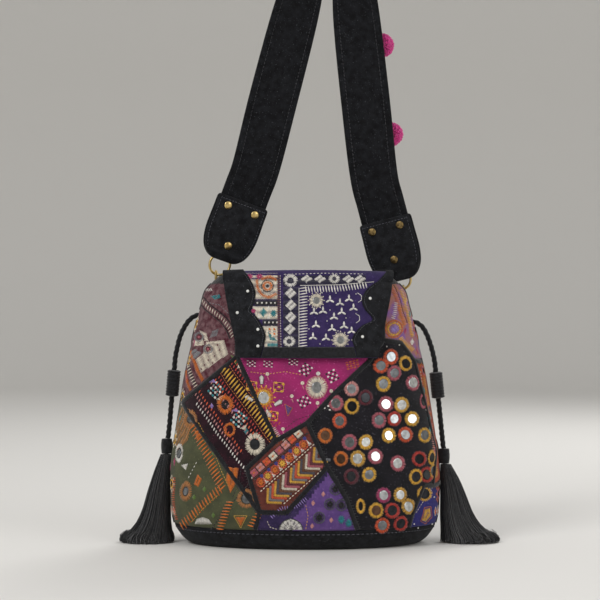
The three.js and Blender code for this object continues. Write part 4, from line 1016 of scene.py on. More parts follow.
bend = np.linspace(0, np.pi, 9)
binding_line = [(256.0, -0.35), (258, -1.1), (262, -1.2)]
binding_line += [(265.3 + 0.95 * math.sin(q), 1.95 - 3.1 * math.cos(q)) for q in bend]
binding_line += [(262, 5.9), (257, 5.9), (256, 5.3), (258, 4.95), (264, 4.9), (265.2, 4.6), (265.2, -0.2),
                 (262, -0.3)]
add_piece("binding", carried_round(binding_line, BINDING_SIDES, 55, 0.12),
          ring_faces(len(binding_line), BINDING_SIDES), tape_cotton, "bag", "black_cotton", ["rim_binding"])


def dress(node, material):
    """Gives a node of the construction that is kept another material."""
    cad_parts[node].data.materials.clear()
    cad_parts[node].data.materials.append(material)


dress("base_board", grained("grey card", "#8A7A60", 0.8, (4.0, "#7C6E58", "#96866C")))

for loop_name, sign in (("left", -1), ("right", 1)):
    loop_height = TUNNEL_HEIGHTS[sign]
    loop_width, loop_depth = (half - DRAWCORD_INSET for half in body_section(loop_height))
    opening = (CORD_SPACING / 2 + CORD_DIAMETER / 2 + 0.6) / loop_depth
    loop_turn = (math.pi if sign < 0 else 0) + np.linspace(opening, 2 * np.pi - opening, DRAWCORD_STEPS)
    loop_path = np.stack([loop_width * np.cos(loop_turn), loop_depth * np.sin(loop_turn),
                          np.full(DRAWCORD_STEPS, loop_height)], axis=1)
    rope(f"drawcord_{loop_name}", loop_path, (0, 0, 1), "bag", [f"drawstring_{loop_name}"])

# Flap
# One embroidered cloth, bound at its lower edge, sewn at the hinge line to a suede yoke that goes over the
# back rim. Black suede pieces with lobed inner edges strengthen its sides.
FLAP_TOP, FLAP_LOW, FLAP_CENTRE = 271.5, 186.3, 3.0
FLAP_THICKNESS, FLAP_LIFT = 3.0, 4.1
FLAP_CROWN, FLAP_FOLD, HINGE_Y = 1.5, 9.0, 3.0
FOLD_START, FOLD_END = 0.345, 0.45
BACK_FOLD, BACK_FOLD_START, BACK_FOLD_END, YOKE_DROP = 10.0, 0.35, 0.55, 40.0
FLAP_HALF_WIDTHS = [[0, 69], [0.2, 81], [0.42, 83], [1, 67]]
CROWN_HALF_WIDTH, YOKE_HALF_WIDTH = 83, 68.0
LOBES = {
    -1: [[0, -62], [0.36, -60], [0.45, -53], [0.54, -48], [0.62, -49.5], [0.675, -52.5], [0.72, -46],
         [0.84, -38], [0.93, -40.5], [1, -43]],
    1: [[0, 70], [0.36, 80], [0.45, 72], [0.52, 60], [0.59, 55], [0.66, 57.5], [0.735, 65], [0.78, 54],
        [0.865, 45.3], [0.93, 47.5], [1, 50]],
}


def rim_depth(x, z, clear):
    """Depth of the body's oval, grown by a clearance, at a distance across."""
    half_width, half_depth = body_section(np.minimum(z, BODY_HEIGHT - 6))
    share = np.minimum(np.abs(x) / (half_width + clear), 0.97)
    return (half_depth + clear) * np.sqrt(1 - share**2)


def flap_crown(x):
    """Height of the flap's level top, which falls off a little to both sides as a parabola."""
    return FLAP_TOP - FLAP_CROWN * ((x - FLAP_CENTRE) / CROWN_HALF_WIDTH) ** 2


def flap_surface(x, along):
    """The flap's outer face: level from the hinge line, round the fold as a quarter circle, then down the
    body's front. along goes from 0 at the hinge to 1 at the lower edge."""
    top = flap_crown(x)
    fold_y = -rim_depth(x, top - FLAP_FOLD, FLAP_LIFT + FLAP_THICKNESS)
    turn = np.clip((along - FOLD_START) / (FOLD_END - FOLD_START), 0, 1) * np.pi / 2
    drop = np.clip((along - FOLD_END) / (1 - FOLD_END), 0, 1)
    z = np.where(along > FOLD_END, top - FLAP_FOLD - (top - FLAP_FOLD - FLAP_LOW) * drop,
                 top - FLAP_FOLD * (1 - np.cos(turn)))
    level_y = HINGE_Y + (fold_y + FLAP_FOLD - HINGE_Y) * np.clip(along / FOLD_START, 0, 1)
    y = np.where(along < FOLD_START, level_y, fold_y + FLAP_FOLD - FLAP_FOLD * np.sin(turn))
    y = np.where(along > FOLD_END, -rim_depth(x, z, FLAP_LIFT + FLAP_THICKNESS), y)
    return np.stack([x, y, z], axis=-1)


def yoke_surface(x, along):
    """The yoke's outer face, from the hinge line over the back rim and down the back."""
    top = flap_crown(x)
    clear = FLAP_THICKNESS + 2.1
    fold_y = rim_depth(x, top - BACK_FOLD, clear)
    turn = np.clip((along - BACK_FOLD_START) / (BACK_FOLD_END - BACK_FOLD_START), 0, 1) * np.pi / 2
    drop = np.clip((along - BACK_FOLD_END) / (1 - BACK_FOLD_END), 0, 1)
    z = top - BACK_FOLD * (1 - np.cos(turn)) - YOKE_DROP * drop
    level_y = HINGE_Y + (fold_y - BACK_FOLD - HINGE_Y) * np.clip(along / BACK_FOLD_START, 0, 1)
    y = np.where(along < BACK_FOLD_START, level_y, fold_y - BACK_FOLD + BACK_FOLD * np.sin(turn))
    y = np.where(along > BACK_FOLD_END, rim_depth(x, z, clear), y)
    return np.stack([x, y, z], axis=-1)


def grid_normals(grid):
    """Outward normals of a grid of points: the cross product of its two gradients."""
    normal = unit(np.cross(np.gradient(grid, axis=1), np.gradient(grid, axis=0)))
    outward = np.sum(normal * (grid - HEART), axis=-1)
    return -normal if outward.mean() < 0 else normal


def border_distance(grid):
    """Distance of each point of a grid from the grid's nearest border, measured along its lines."""
    distances = []
    for axis in (0, 1):
        steps = np.linalg.norm(np.diff(grid, axis=axis), axis=2)
        lengths = np.insert(np.cumsum(steps, axis=axis), 0, 0, axis=axis)
        total = np.take(lengths, [-1], axis=axis)
        distances.append(np.minimum(lengths, total - lengths))
    return np.minimum(*distances)


def slab(grid, thickness, edge=1.2, normals=None):
    """A cloth or leather of even thickness round a middle surface: half the thickness is
    T/2 sqrt(1 - (1 - d/e)^2) within e of its border. Gives points and faces."""
    normals = grid_normals(grid) if normals is None else normals
    near = 1 - np.clip(border_distance(grid) / edge, 0, 1)
    half = np.maximum(thickness / 2 * np.sqrt(1 - near**2), 0.06)[..., None]
    rows, columns = grid.shape[:2]
    index = np.arange(rows * columns).reshape(rows, columns)
    top = np.stack([index[:-1, :-1], index[:-1, 1:], index[1:, 1:], index[1:, :-1]], axis=-1).reshape(-1, 4)
    border = np.concatenate([index[0, :-1], index[:-1, -1], index[-1, :0:-1], index[:0:-1, 0]])
    following = np.roll(border, -1)
    under = rows * columns
    rim = np.stack([following, border, border + under, following + under], axis=-1)
    faces = np.concatenate([top, top[:, ::-1] + under, rim]).tolist()
    return np.stack([grid + normals * half, grid - normals * half]).reshape(-1, 3), faces


def spread(count):
    """Places from 0 to 1, closer together near both ends."""
    return (1 - np.cos(np.linspace(0, np.pi, count))) / 2


def between(surface, left, right, along, columns, lift):
    """A grid on a surface between two edges that vary along it, raised by a lift."""
    share = spread(columns)[None, :]
    x = left[:, None] * (1 - share) + right[:, None] * share
    grid = surface(x, np.broadcast_to(along[:, None], x.shape))
    return grid + grid_normals(grid) * lift


flap_along = np.concatenate([np.linspace(0, FOLD_START, 26)[:-1], np.linspace(FOLD_START, FOLD_END, 14)[:-1],
                             np.linspace(FOLD_END, 0.985, 70), [0.993, 1.0]])
flap_half = smooth(FLAP_HALF_WIDTHS, flap_along, 1)
lobe_edge = {sign: smooth(rows, flap_along, 1) for sign, rows in LOBES.items()}
flap_cloth = woven_cloth("violet flap cotton", "#3B2D5C", "#2F2450", 10.0, speck="#57487A")
panel_grid = between(flap_surface, FLAP_CENTRE - flap_half, FLAP_CENTRE + flap_half, flap_along, 70,
                     -FLAP_THICKNESS / 2)
yoke_along = np.concatenate([np.linspace(0.0, BACK_FOLD_START, 22)[:-1],
                             np.linspace(BACK_FOLD_START, BACK_FOLD_END, 14)[:-1],
                             np.linspace(BACK_FOLD_END, 0.98, 30), [0.99, 1.0]])
yoke_half = np.full(len(yoke_along), YOKE_HALF_WIDTH)
yoke_grid = between(yoke_surface, FLAP_CENTRE - yoke_half, FLAP_CENTRE + yoke_half, yoke_along, 60,
                    -FLAP_THICKNESS / 2)


def chart_of(grid):
    """Flat places for both faces of a slab, measured along the grid's lines."""
    across = np.insert(np.cumsum(np.linalg.norm(np.diff(grid, axis=1), axis=2), axis=1), 0, 0, axis=1)
    down = np.insert(np.cumsum(np.linalg.norm(np.diff(grid, axis=0), axis=2), axis=0), 0, 0, axis=0)
    flat = np.stack([across, down], axis=-1).reshape(-1, 2)
    return np.concatenate([flat, flat])


def bend_at_hinge(piece):
    """Bakes the piece's placement into its points."""
    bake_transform(piece)


bend_at_hinge(add_piece("flap_cloth", *slab(panel_grid, FLAP_THICKNESS, 1.5), flap_cloth, None,
                        "purple_cloth",
                        ["flap_panel"], chart=chart_of(panel_grid)))
bend_at_hinge(add_piece("yoke", *slab(yoke_grid, FLAP_THICKNESS, 1.5), black_suede, None, "black_suede",
                        ["flap_yoke"]))
for side_name, sign in (("left", -1), ("right", 1)):
    outer_edge = FLAP_CENTRE + sign * (flap_half + 0.4)
    low_edge, high_edge = (outer_edge, lobe_edge[sign]) if sign < 0 else (lobe_edge[sign], outer_edge)
    side_grid = between(flap_surface, low_edge, high_edge, flap_along, 40, 0.9)
    bend_at_hinge(add_piece(f"flap_suede_{side_name}", *slab(side_grid, 1.4, 1.0), black_suede, None,
                            "black_suede",
                            [f"flap_side_{side_name}"]))
band_along = np.linspace(0.925, 1.0, 12)
band_edges = [smooth(LOBES[sign], band_along, 1) + sign * -0.6 for sign in (-1, 1)]
band_grid = between(flap_surface, *band_edges, band_along, 60, 0.8)
add_piece("flap_band", *slab(band_grid, 1.5, 2.2), tape_cotton, "flap", "black_cotton", ["flap_bottom_band"])

# Strap
# Black velvet-faced webbing 50 mm wide and 4 mm thick, with a stitched border along both edges. Its ends
# sit in folded suede tabs, riveted through, and each tab holds a round brass ring.
LINKS = {"left": np.array([-90.0, 24.0, 268.0]), "right": np.array([99.5, 24.0, 253.0])}
END_DIRECTIONS = {"left": np.array([28, -4.2, 74]), "right": np.array([-19.7, -3.8, 73.8])}
END_TURNS = {"left": 20.0, "right": -20.0}
TAB_FROM = {"left": 15.0, "right": 9.0}
TAB_LENGTH = 64.0
STRAP_WIDTH, STRAP_THICKNESS, ENDS_AT = 50.0, 4.0, 25.0
STRAIGHT_PLACES = [25, 48, 75, 92, 112]
STRAP_TOP = [(-32.5, 442), (-6, 542), (5, 582), (11.5, 615), (20, 642), (33, 651.5), (44, 640), (47, 612),
             (46.5, 582), (50, 542), (61, 442)]
STRAP_TURNS = [[250, 20], [320, 20], [360, 20], [430, 13], [500, 18], [545, 30], [590, 58], [630, 80],
               [660, 90]]


def end_frame(name):
    """Sideways, along and inner directions of a strap end: the inner face looks forwards, turned a little
    about the strap's own length."""
    along = unit(END_DIRECTIONS[name].astype(float))
    inner = unit(np.array([0, -1.0, 0]) + along * along[1])
    turn = math.radians(END_TURNS[name])
    inner = inner * math.cos(turn) + np.cross(along, inner) * math.sin(turn)
    return np.cross(along, inner), along, inner


def in_end_frame(name, places):
    """Places given as sideways, along and inner from a strap end's link, in the bag's frame."""
    return LINKS[name] + places @ np.stack(end_frame(name))


left_end, right_end = (np.stack([LINKS[n] + unit(END_DIRECTIONS[n].astype(float)) * d
                                 for d in STRAIGHT_PLACES])
                       for n in ("left", "right"))
lean = np.array([[x, 24 - (z - 268) * 0.0535, z] for x, z in STRAP_TOP])
strap_line = smooth_path(np.vstack([left_end, lean, right_end[::-1]]), 13)
strap_along = slopes(strap_line)
strap_turn = np.radians(np.minimum(smooth(STRAP_TURNS, strap_line[:, 2], 1), 90))[:, None]
inward = unit(np.stack([strap_along[:, 2], np.zeros(len(strap_line)), -strap_along[:, 0]], axis=1))
strap_inner = np.array([0, -1.0, 0]) * np.cos(strap_turn) + inward * np.sin(strap_turn)
strap_inner = unit(strap_inner - strap_along * np.sum(strap_inner * strap_along, axis=1, keepdims=True))
strap_side = np.cross(strap_along, strap_inner)
strap_length = np.concatenate([[0], np.cumsum(np.linalg.norm(np.diff(strap_line, axis=0), axis=1))])
from_link = np.minimum(*(np.linalg.norm(strap_line - LINKS[n], axis=1) for n in ("left", "right")))
cut_away = np.maximum(2 * ENDS_AT - from_link, 0) / (ENDS_AT + 6)
strap_half = STRAP_WIDTH / 2 * np.sqrt(np.maximum(1 - cut_away**2, 0.01))
strap_share = (spread(34) * 2 - 1)[None, :]
strap_grid = strap_line[:, None, :] + strap_side[:, None, :] * (strap_share * strap_half[:, None])[..., None]
# The webbing is thinner between its two borders, with a groove along each where it is stitched.
from_middle = np.abs(strap_share)
border_groove = 1 - 0.28 * np.exp(-((from_middle - 0.74) / 0.035) ** 2) - 0.1 * (from_middle < 0.7)
strap_fullness = STRAP_THICKNESS * np.broadcast_to(border_groove, strap_grid.shape[:2])
strap_solid = slab(strap_grid, strap_fullness, 1.8, np.broadcast_to(strap_inner[:, None, :],
                                                                    strap_grid.shape))
strap_velvet = suede("black velvet webbing", "#0D0D0F", "#1A1B1E")
add_piece("strap_webbing", *strap_solid, strap_velvet, "strap", "strap_webbing", ["strap"])


STRAP_FACE, STRAP_SEAM, SEAM_STOP = 1.55, 18.5, 30


def along_strap(values, drawing):
    """Values given for each place of the strap's line, read at the drawing's length along it."""
    return np.stack([np.interp(drawing[..., 1], strap_length, values[:, k]) for k in range(3)], axis=-1)


def strap_ground(face):
    """The strap's inner (1) or outer (-1) face, drawn on by distance across and length along."""
    def ground(drawing):
        middle = along_strap(strap_line, drawing) + along_strap(strap_side, drawing) * drawing[..., :1]
        return middle + along_strap(strap_inner, drawing) * (face * STRAP_FACE)
    return ground


def outward_from_strap(face):
    """The strap face's outward directions, for its stitches."""
    return lambda ground, drawing: face * unit(along_strap(strap_inner, drawing))


for face_name, face in (("inner", 1), ("outer", -1)):
    strap_sewing = Needlework(strap_ground(face), outward_from_strap(face))
    for across in (-STRAP_SEAM, STRAP_SEAM):
        seam = [(across, SEAM_STOP), (across, strap_length[-1] - SEAM_STOP)]
        strap_sewing.running(seam, "charcoal", 2.6, 1.2, 0.9, 0.5)
    strap_sewing.finish(f"strap_stitching_{face_name}", "strap", "strap_webbing")

TAB_HALF_WIDTHS = [[0, 10], [1.2, 14.0], [4, 18.2], [9, 22.3], [16, 25.3], [24, 26.9], [32, 27.5], [50, 27.2],
                   [61, 27], [63, 26.2], [64, 24.5]]
RIVET_CAP, RIVET_RISE, RIVET_SHANK = 4.0, 1.2, 1.5
RING_RADIUS, RING_WIRE = 10.7, 1.3
RIVET_SIDES, RING_STEPS, RING_SIDES = 24, 72, 14
brass = grained("satin brass", "#C9AE72", 0.3, (5.0, "#BFA264", "#D8C084"), (1.2, 0.05), metallic=1.0)
# A copy of the satin brass painted darker, as shade, for the right rivets, which turn away from the light.
brass_painted_in_shade = grained("brass painted in shade", "#8A7448", 0.42, (2.5, "#5E4E34", "#A08858"), (1.0, 0.08), metallic=1.0)


def tab_surface(name, face):
    """One ply of a folded tab, drawn on by distance across and along; the plies close up at the chin."""
    def ground(drawing):
        up = drawing[..., 1] - TAB_FROM[name]
        open_share = np.clip((drawing[..., 1] - ENDS_AT + 9) / 9, 0, 1)
        parting = 2.0 + 1.2 * open_share * open_share * (3 - 2 * open_share)
        offset = face * parting * np.sqrt(np.clip(up / 3 + 0.35, 0, 1))
        places = np.stack([drawing[..., 0], drawing[..., 1], offset], axis=-1)
        return in_end_frame(name, places)
    return ground


TAB_ROWS, TAB_COLUMNS = 50, 40
TAB_SEAM_INSET, TAB_SEAM_LOW, TAB_SEAM_HIGH, TAB_SEAM_HALF = 3.0, 3.2, 60.5, 22.0
FOLDED_LEATHER, SINGLE_LEATHER = 3.9, 1.8


def strap_tab(name):
    """Two plies of suede folded round the ring, sewn together along their edge."""
    start = TAB_FROM[name]
    up = spread(TAB_ROWS) * TAB_LENGTH
    across = (spread(TAB_COLUMNS) * 2 - 1)[None, :] * smooth(TAB_HALF_WIDTHS, up, 1)[:, None]
    places = np.stack([across, np.broadcast_to((up + start)[:, None], across.shape)], axis=-1)
    seam_up = np.linspace(TAB_SEAM_LOW, TAB_SEAM_HIGH, 60)
    seam_half = smooth(TAB_HALF_WIDTHS, seam_up, 1) - TAB_SEAM_INSET
    round_seam = np.concatenate([np.stack([-seam_half[::-1], seam_up[::-1] + start], 1),
                                 np.stack([seam_half, seam_up + start], 1)])
    top_seam = np.array([[-TAB_SEAM_HALF, start + TAB_SEAM_HIGH], [TAB_SEAM_HALF, start + TAB_SEAM_HIGH]])
    plies = []
    for face_name, face in (("inner", 1), ("outer", -1)):
        outward = face * end_frame(name)[2]
        surface = tab_surface(name, face)
        ply = surface(places)
        fullness = np.where(up + start < ENDS_AT - 1, FOLDED_LEATHER, SINGLE_LEATHER)[:, None]
        plies.append(slab(ply, fullness * np.ones((1, TAB_COLUMNS)), 1.0,
                          np.broadcast_to(outward, ply.shape)))
        sewing = Needlework(lambda d: surface(d) + outward * 0.9,
                            lambda ground, d: np.broadcast_to(outward, (*d.shape[:-1], 3)))
        for seam in (round_seam, top_seam):
            sewing.running(seam, "slate", 2.2, 1.3, 0.6, 0.35)
        sewing.finish(f"tab_stitching_{name}_{face_name}", "strap", "black_suede")
    (first_points, first_faces), (second_points, second_faces) = plies
    shifted = [tuple(i + len(first_points) for i in face) for face in second_faces]
    add_piece(f"tab_{name}", np.concatenate([first_points, second_points]), first_faces + shifted,
              black_suede,
              "strap", "black_suede", [f"strap_tab_{name}"])


def strap_ring(name):
    """A round ring of wire: a circle of places on its wire carried round the ring."""
    turn = circle(RING_STEPS)[:, None]
    wire = circle(RING_SIDES)[None, :]
    reach = RING_RADIUS + RING_WIRE * np.cos(wire)
    places = np.stack([reach * np.sin(turn), RING_RADIUS - reach * np.cos(turn),
                       RING_WIRE * np.sin(wire) + 0 * turn], axis=-1)
    add_piece(f"ring_{name}", in_end_frame(name, places), ring_faces(RING_STEPS, RING_SIDES), brass, "strap",
              "brass", [f"round_ring_{name}"])


def rivets(name, metal):
    """Three rivets, each a shank with a domed cap on both faces of the tab, turned from one outline."""
    turn = circle(RIVET_SIDES)
    half_stack = (STRAP_THICKNESS + 3.6 + 0.6) / 2 + 0.3
    dome = np.radians([90, 66, 44, 24, 6])
    cap_rows = [(RIVET_CAP * math.cos(q), half_stack + RIVET_RISE * math.sin(q)) for q in dome]
    rows = np.array(cap_rows + [(RIVET_CAP, half_stack), (RIVET_SHANK, half_stack)])
    rows = np.vstack([rows, rows[::-1] * [1, -1]])
    rows[[0, -1], 0] = 0.3
    high = TAB_FROM[name] + TAB_LENGTH - 9
    for number, (x, y) in enumerate([(-15, high), (15, high), (0, ENDS_AT + 6.5)], start=1):
        places = np.stack([x + rows[:, :1] * np.cos(turn), y + rows[:, :1] * np.sin(turn),
                           rows[:, 1:] + 0 * turn], axis=-1)
        add_piece(f"rivet_head_{name}_{number}", in_end_frame(name, places),
                  tube_faces(1, len(rows), RIVET_SIDES),
                  metal, "strap", "brass", [f"rivet_{name}_{number}"])


# The right rivets take the brass with painted shade, the left ones the plain brass.
for name, rivet_metal in (("left", brass), ("right", brass_painted_in_shade)):
    strap_tab(name)
    strap_ring(name)
    rivets(name, rivet_metal)

# Pompoms
# Four pink wool pompoms stand along one edge of the strap's outer face. Each is a tight bundle of yarn ends
# round a knot, brushed and clipped to a ball, with shade painted in: darker towards its heart, lighter at its
# tips.
POMPOM_DIAMETER = 25.0
POMPOM_TUFTS = 900
TUFT_WIDTH = 1.5
WOOL_COLOUR, WOOL_PAINTED_SHADE = "#D93A93", "#8E2560"
BALL_ROWS, BALL_SIDES = 16, 24
GOLDEN_ANGLE = 2.39996
pink_wool = toned("brushed pink wool", WOOL_COLOUR, 0.95, (1.0, 0.3), (0.8, 1.1), sheen=0.5)


def even_directions(count):
    """Directions spread evenly over a ball: each turns by the golden angle and drops by 2/n."""
    step = np.arange(count) + 0.5
    level, turn = 1 - 2 * step / count, step * GOLDEN_ANGLE
    flat = np.sqrt(1 - level**2)
    return np.stack([flat * np.cos(turn), flat * np.sin(turn), level], axis=1)


def ball(centre, radius):
    """Rings of points on a ball, from one pole to the other."""
    level = np.linspace(0.03, np.pi - 0.03, BALL_ROWS)[:, None]
    turn = circle(BALL_SIDES)[None, :]
    places = np.stack([np.sin(level) * np.cos(turn), np.sin(level) * np.sin(turn),
                       np.cos(level) + 0 * turn], axis=-1)
    return centre + radius * places.reshape(-1, 3)


def pompom(name, centre, node):
    """Tufts stand on a ball 0.78 times as wide: each is three rings of four points, thickest near its tip."""
    axis = unit(even_directions(POMPOM_TUFTS) + rng.normal(0, 0.04, (POMPOM_TUFTS, 3)))
    side = unit(np.cross(axis, [0.3, 0.2, 0.93]))
    across = np.cross(axis, side)
    reach = POMPOM_DIAMETER / 2 * rng.uniform(0.9, 1.0, POMPOM_TUFTS)
    rings = []
    for share, width in ((0.55, 0.7), (0.93, 1.0), (1.0, 0.45)):
        for turn in circle(4):
            around = side * math.cos(turn) + across * math.sin(turn)
            rings.append(centre + axis * (reach * share)[:, None] + around * TUFT_WIDTH / 2 * width)
    tufts = np.stack(rings, axis=1).reshape(-1, 3)
    # Painted shade and light: each tuft is darker at its root and lighter at its tip.
    shade = np.array([0.55, 1.0, 1.15])[None, :, None, None] * rng.uniform(0.85, 1.1, (POMPOM_TUFTS, 1, 1, 1))
    tones = np.ones((POMPOM_TUFTS, 3, 4, 4)) * linear(WOOL_COLOUR) * shade
    tones[..., 3] = 1
    # The ball inside the tufts is painted darker, as shade.
    core = ball(centre, POMPOM_DIAMETER / 2 * 0.78)
    core_painted_shade = np.tile(linear(WOOL_PAINTED_SHADE), (len(core), 1))
    faces = tube_faces(POMPOM_TUFTS, 3, 4)
    faces += [tuple(i + len(tufts) for i in face) for face in tube_faces(1, BALL_ROWS, BALL_SIDES)]
    add_piece(name, np.concatenate([tufts, core]), faces, pink_wool, "strap", "pink_wool", [node],
              tones=np.concatenate([tones.reshape(-1, 4), core_painted_shade]))


for number in range(1, 5):
    low_corner, high_corner = (np.array(corner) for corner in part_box(f"pompom_{number}"))
    pompom(f"wool_pompom_{number}", (low_corner + high_corner) / 2 / MM, f"pompom_{number}")

# Side rings and tabs
# Each strap ring is linked through a brass D-ring, held by a strip of suede sewn to the body under the rim.
# The D-rings keep the construction's own shape; the strips get worn edges.
EDGE_WEAR, WEAR_STEPS, SHARP_FROM = 0.4, 2, 40
MERGE_DIGITS = 3


def worn_copy(name, node, material):
    """The node's own triangles joined into one skin, whose sharp edges are worn round by a bevel."""
    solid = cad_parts[node]
    points = np.array([solid.matrix_world @ point.co for point in solid.data.vertices]) / MM
    joined, places = np.unique(np.round(points, MERGE_DIGITS), axis=0, return_inverse=True)
    places = places.ravel()
    faces = [[int(places[corner]) for corner in face.vertices] for face in solid.data.polygons]
    faces = [face for face in faces if len(set(face)) == len(face)]
    piece = add_piece(name, joined, faces, material, "bag", "black_suede", [node])
    bevel = piece.modifiers.new("worn edges", "BEVEL")
    bevel.width = EDGE_WEAR * MM
    bevel.segments = WEAR_STEPS
    bevel.limit_method = "ANGLE"
    bevel.angle_limit = math.radians(SHARP_FROM)


for name in ("left", "right"):
    dress(f"side_ring_{name}", brass)
    worn_copy(f"tab_strip_{name}", f"side_tab_{name}", black_suede)

# Snap
# A magnetic snap closes the flap: a nickel-plated disc on the body, and its partner under the flap. Both
# keep the construction's own shape and are a little scratched.
snap_metal = grained("nickel plate", "#B8B8B4", 0.32, (3.0, "#A8A8A4", "#C8C8C4"), (1.0, 0.04), metallic=1.0)
for node in ("snap_socket", "snap_stud"):
    dress(node, snap_metal)

# Sliders
# Each pair of cords runs through a short block, wound side by side with the same black cord. Its windings
# show as ribs, and it moves along the cords by hand.
SLIDER_SIZE = np.array([13.0, 18.0, 26.0])
SLIDER_HOLE = np.array([3.0, 6.1])
SLIDER_TURNS = 9
SLIDER_SIDES, BOX_POWER = 64, 3.2
SLIDER_LINES = {"left": (-134.8, 125, -130.5, 175, 159), "right": (135.6, 121, 130.6, 171, 157)}


def slider_block(low_x, low_z, high_x, high_z, middle):
    """A block whose outline is |x/a|^3.2 + |y/b|^3.2 = 1, ribbed once per turn of its binding, with a hole
    of the same kind through it."""
    axis = unit(np.array([high_x - low_x, 0.0, high_z - low_z]))
    centre = np.array([low_x + (high_x - low_x) * (middle - low_z) / (high_z - low_z), 0, middle])
    across = np.cross([0, 1.0, 0], axis)
    turn = circle(SLIDER_SIDES)
    round_up = (np.abs(np.cos(turn)) ** BOX_POWER + np.abs(np.sin(turn)) ** BOX_POWER) ** (-1 / BOX_POWER)
    level = np.linspace(-1, 1, 14 * SLIDER_TURNS + 1)
    rib = np.abs(np.sin((level + 1) * np.pi / 2 * SLIDER_TURNS))
    swollen = 0.93 + 0.07 * rib - 0.25 * np.clip(np.abs(level) - 0.94, 0, 1) / 0.06
    rows = [(height * SLIDER_SIZE[2] / 2, SLIDER_SIZE[:2] / 2 * wide) for height, wide in zip(level, swollen)]
    rows += [(height * SLIDER_SIZE[2] / 2, SLIDER_HOLE) for height in (0.97, 0.5, 0, -0.5, -0.97)]
    rings = [centre + axis * height + across * (half[0] * round_up * np.cos(turn))[:, None]
             + np.array([0, 1.0, 0]) * (half[1] * round_up * np.sin(turn))[:, None] for height, half in rows]
    return np.concatenate(rings), ring_faces(len(rows), SLIDER_SIDES)


for name, line in SLIDER_LINES.items():
    add_piece(f"bound_slider_{name}", *slider_block(*line), tape_cotton, f"slider_{name}", "black_cotton",
              [f"slider_{name}"])

# Tassels
# Each knot is wound over with black thread, and a long skirt of black cotton strands spreads below it. The
# strands vary a little in length, depth and shade.
CAP_TOPS = {"left": (-138.2, 103.5), "right": (139.0, 93.6)}
CAP_RADIUS, CAP_HEIGHT = 6.0, 15.0
SKIRTS = {
    "left": [[0.5, -158, 27, 21], [4, -158, 27, 21], [14, -153, 19.5, 19], [30, -149, 14.5, 15],
             [50, -146, 11.5, 12], [70, -142.5, 8.5, 9], [88.1, -139, 5, 5.5]],
    "right": [[0.5, 165, 29, 21], [4, 165, 29, 21], [14, 157.5, 21.5, 19], [28, 152, 16.5, 15],
              [45, 148.5, 13, 12], [62, 145, 9.5, 9], [78.2, 140.5, 5, 5.5]],
}
SKIRT_STRANDS, STRAND_WIDTH = 330, 1.5
CORE_SIDES, CORE_SHARE = 40, 0.84
CAP_ROWS, CAP_SIDES, CAP_WINDINGS = 66, 32, 11
skirt_cotton = toned("black tassel cotton", "#101012", 0.85, (1.1, 0.2), (0.7, 1.2), sheen=0.35)


def skirt(name, rows):
    """Strands run down the skirt's ovals; each wanders a little in turn and depth, and a core painted darker
    than the strands, as shade, fills the skirt's inside. Strand width follows the skirt's own spread."""
    levels = np.concatenate([np.linspace(rows[-1][0] - 0.3, 12, 11), [7, 3.5, 0.9]])
    middle, half_width, half_depth = (smooth(rows, levels, k) for k in (1, 2, 3))
    turn = circle(SKIRT_STRANDS) + rng.uniform(0, 0.02, SKIRT_STRANDS)
    wander = np.cumsum(rng.normal(0, 0.012, (len(levels), SKIRT_STRANDS)), axis=0)
    depth = 1 - rng.uniform(0.0, 0.24, SKIRT_STRANDS) ** 1.4 - 0.02 * np.sin(np.arange(SKIRT_STRANDS) * 2.7)
    short = rng.uniform(0, 1, SKIRT_STRANDS) ** 3 * 5
    angle = turn + wander
    line = np.stack([middle[:, None] + half_width[:, None] * depth * np.cos(angle),
                     half_depth[:, None] * depth * np.sin(angle),
                     np.maximum(levels[:, None] + short * (levels[:, None] < 10), 0.9)], axis=-1)
    thick = (STRAND_WIDTH / 2 * (0.45 + 0.55 * half_width / half_width.max()))[:, None, None]
    outward = unit(np.stack([np.cos(angle) / half_width[:, None], np.sin(angle) / half_depth[:, None],
                             0 * angle],
                            axis=-1))
    sideways = np.stack([-outward[..., 1], outward[..., 0], 0 * angle], axis=-1)
    out, aside = outward * thick * 0.6, sideways * thick
    rings = [line + out, line + aside, line - out, line - aside]
    strands = np.stack(rings, axis=2).transpose(1, 0, 2, 3).reshape(-1, 3)
    shade = np.ones((SKIRT_STRANDS, len(levels), 4, 4)) * linear("#1A1A1D")
    shade *= rng.uniform(0.45, 1.45, (SKIRT_STRANDS, 1, 1, 1))
    shade[..., 3] = 1
    core_turn = circle(CORE_SIDES)
    core = np.stack([middle[:, None] + half_width[:, None] * CORE_SHARE * np.cos(core_turn),
                     half_depth[:, None] * CORE_SHARE * np.sin(core_turn),
                     np.maximum(levels, 1.6)[:, None] + 0 * core_turn], axis=-1).reshape(-1, 3)
    faces = tube_faces(SKIRT_STRANDS, len(levels), 4)
    faces += [tuple(i + len(strands) for i in face) for face in tube_faces(1, len(levels), CORE_SIDES)]
    # The core's colour is painted shade, darker than any strand.
    tones = np.concatenate([shade.reshape(-1, 4), np.tile(linear("#08080A"), (len(core), 1))])
    add_piece(f"skirt_{name}", np.concatenate([strands, core]), faces, skirt_cotton, "bag", "black_cotton",
              [f"tassel_{name}"], tones=tones)


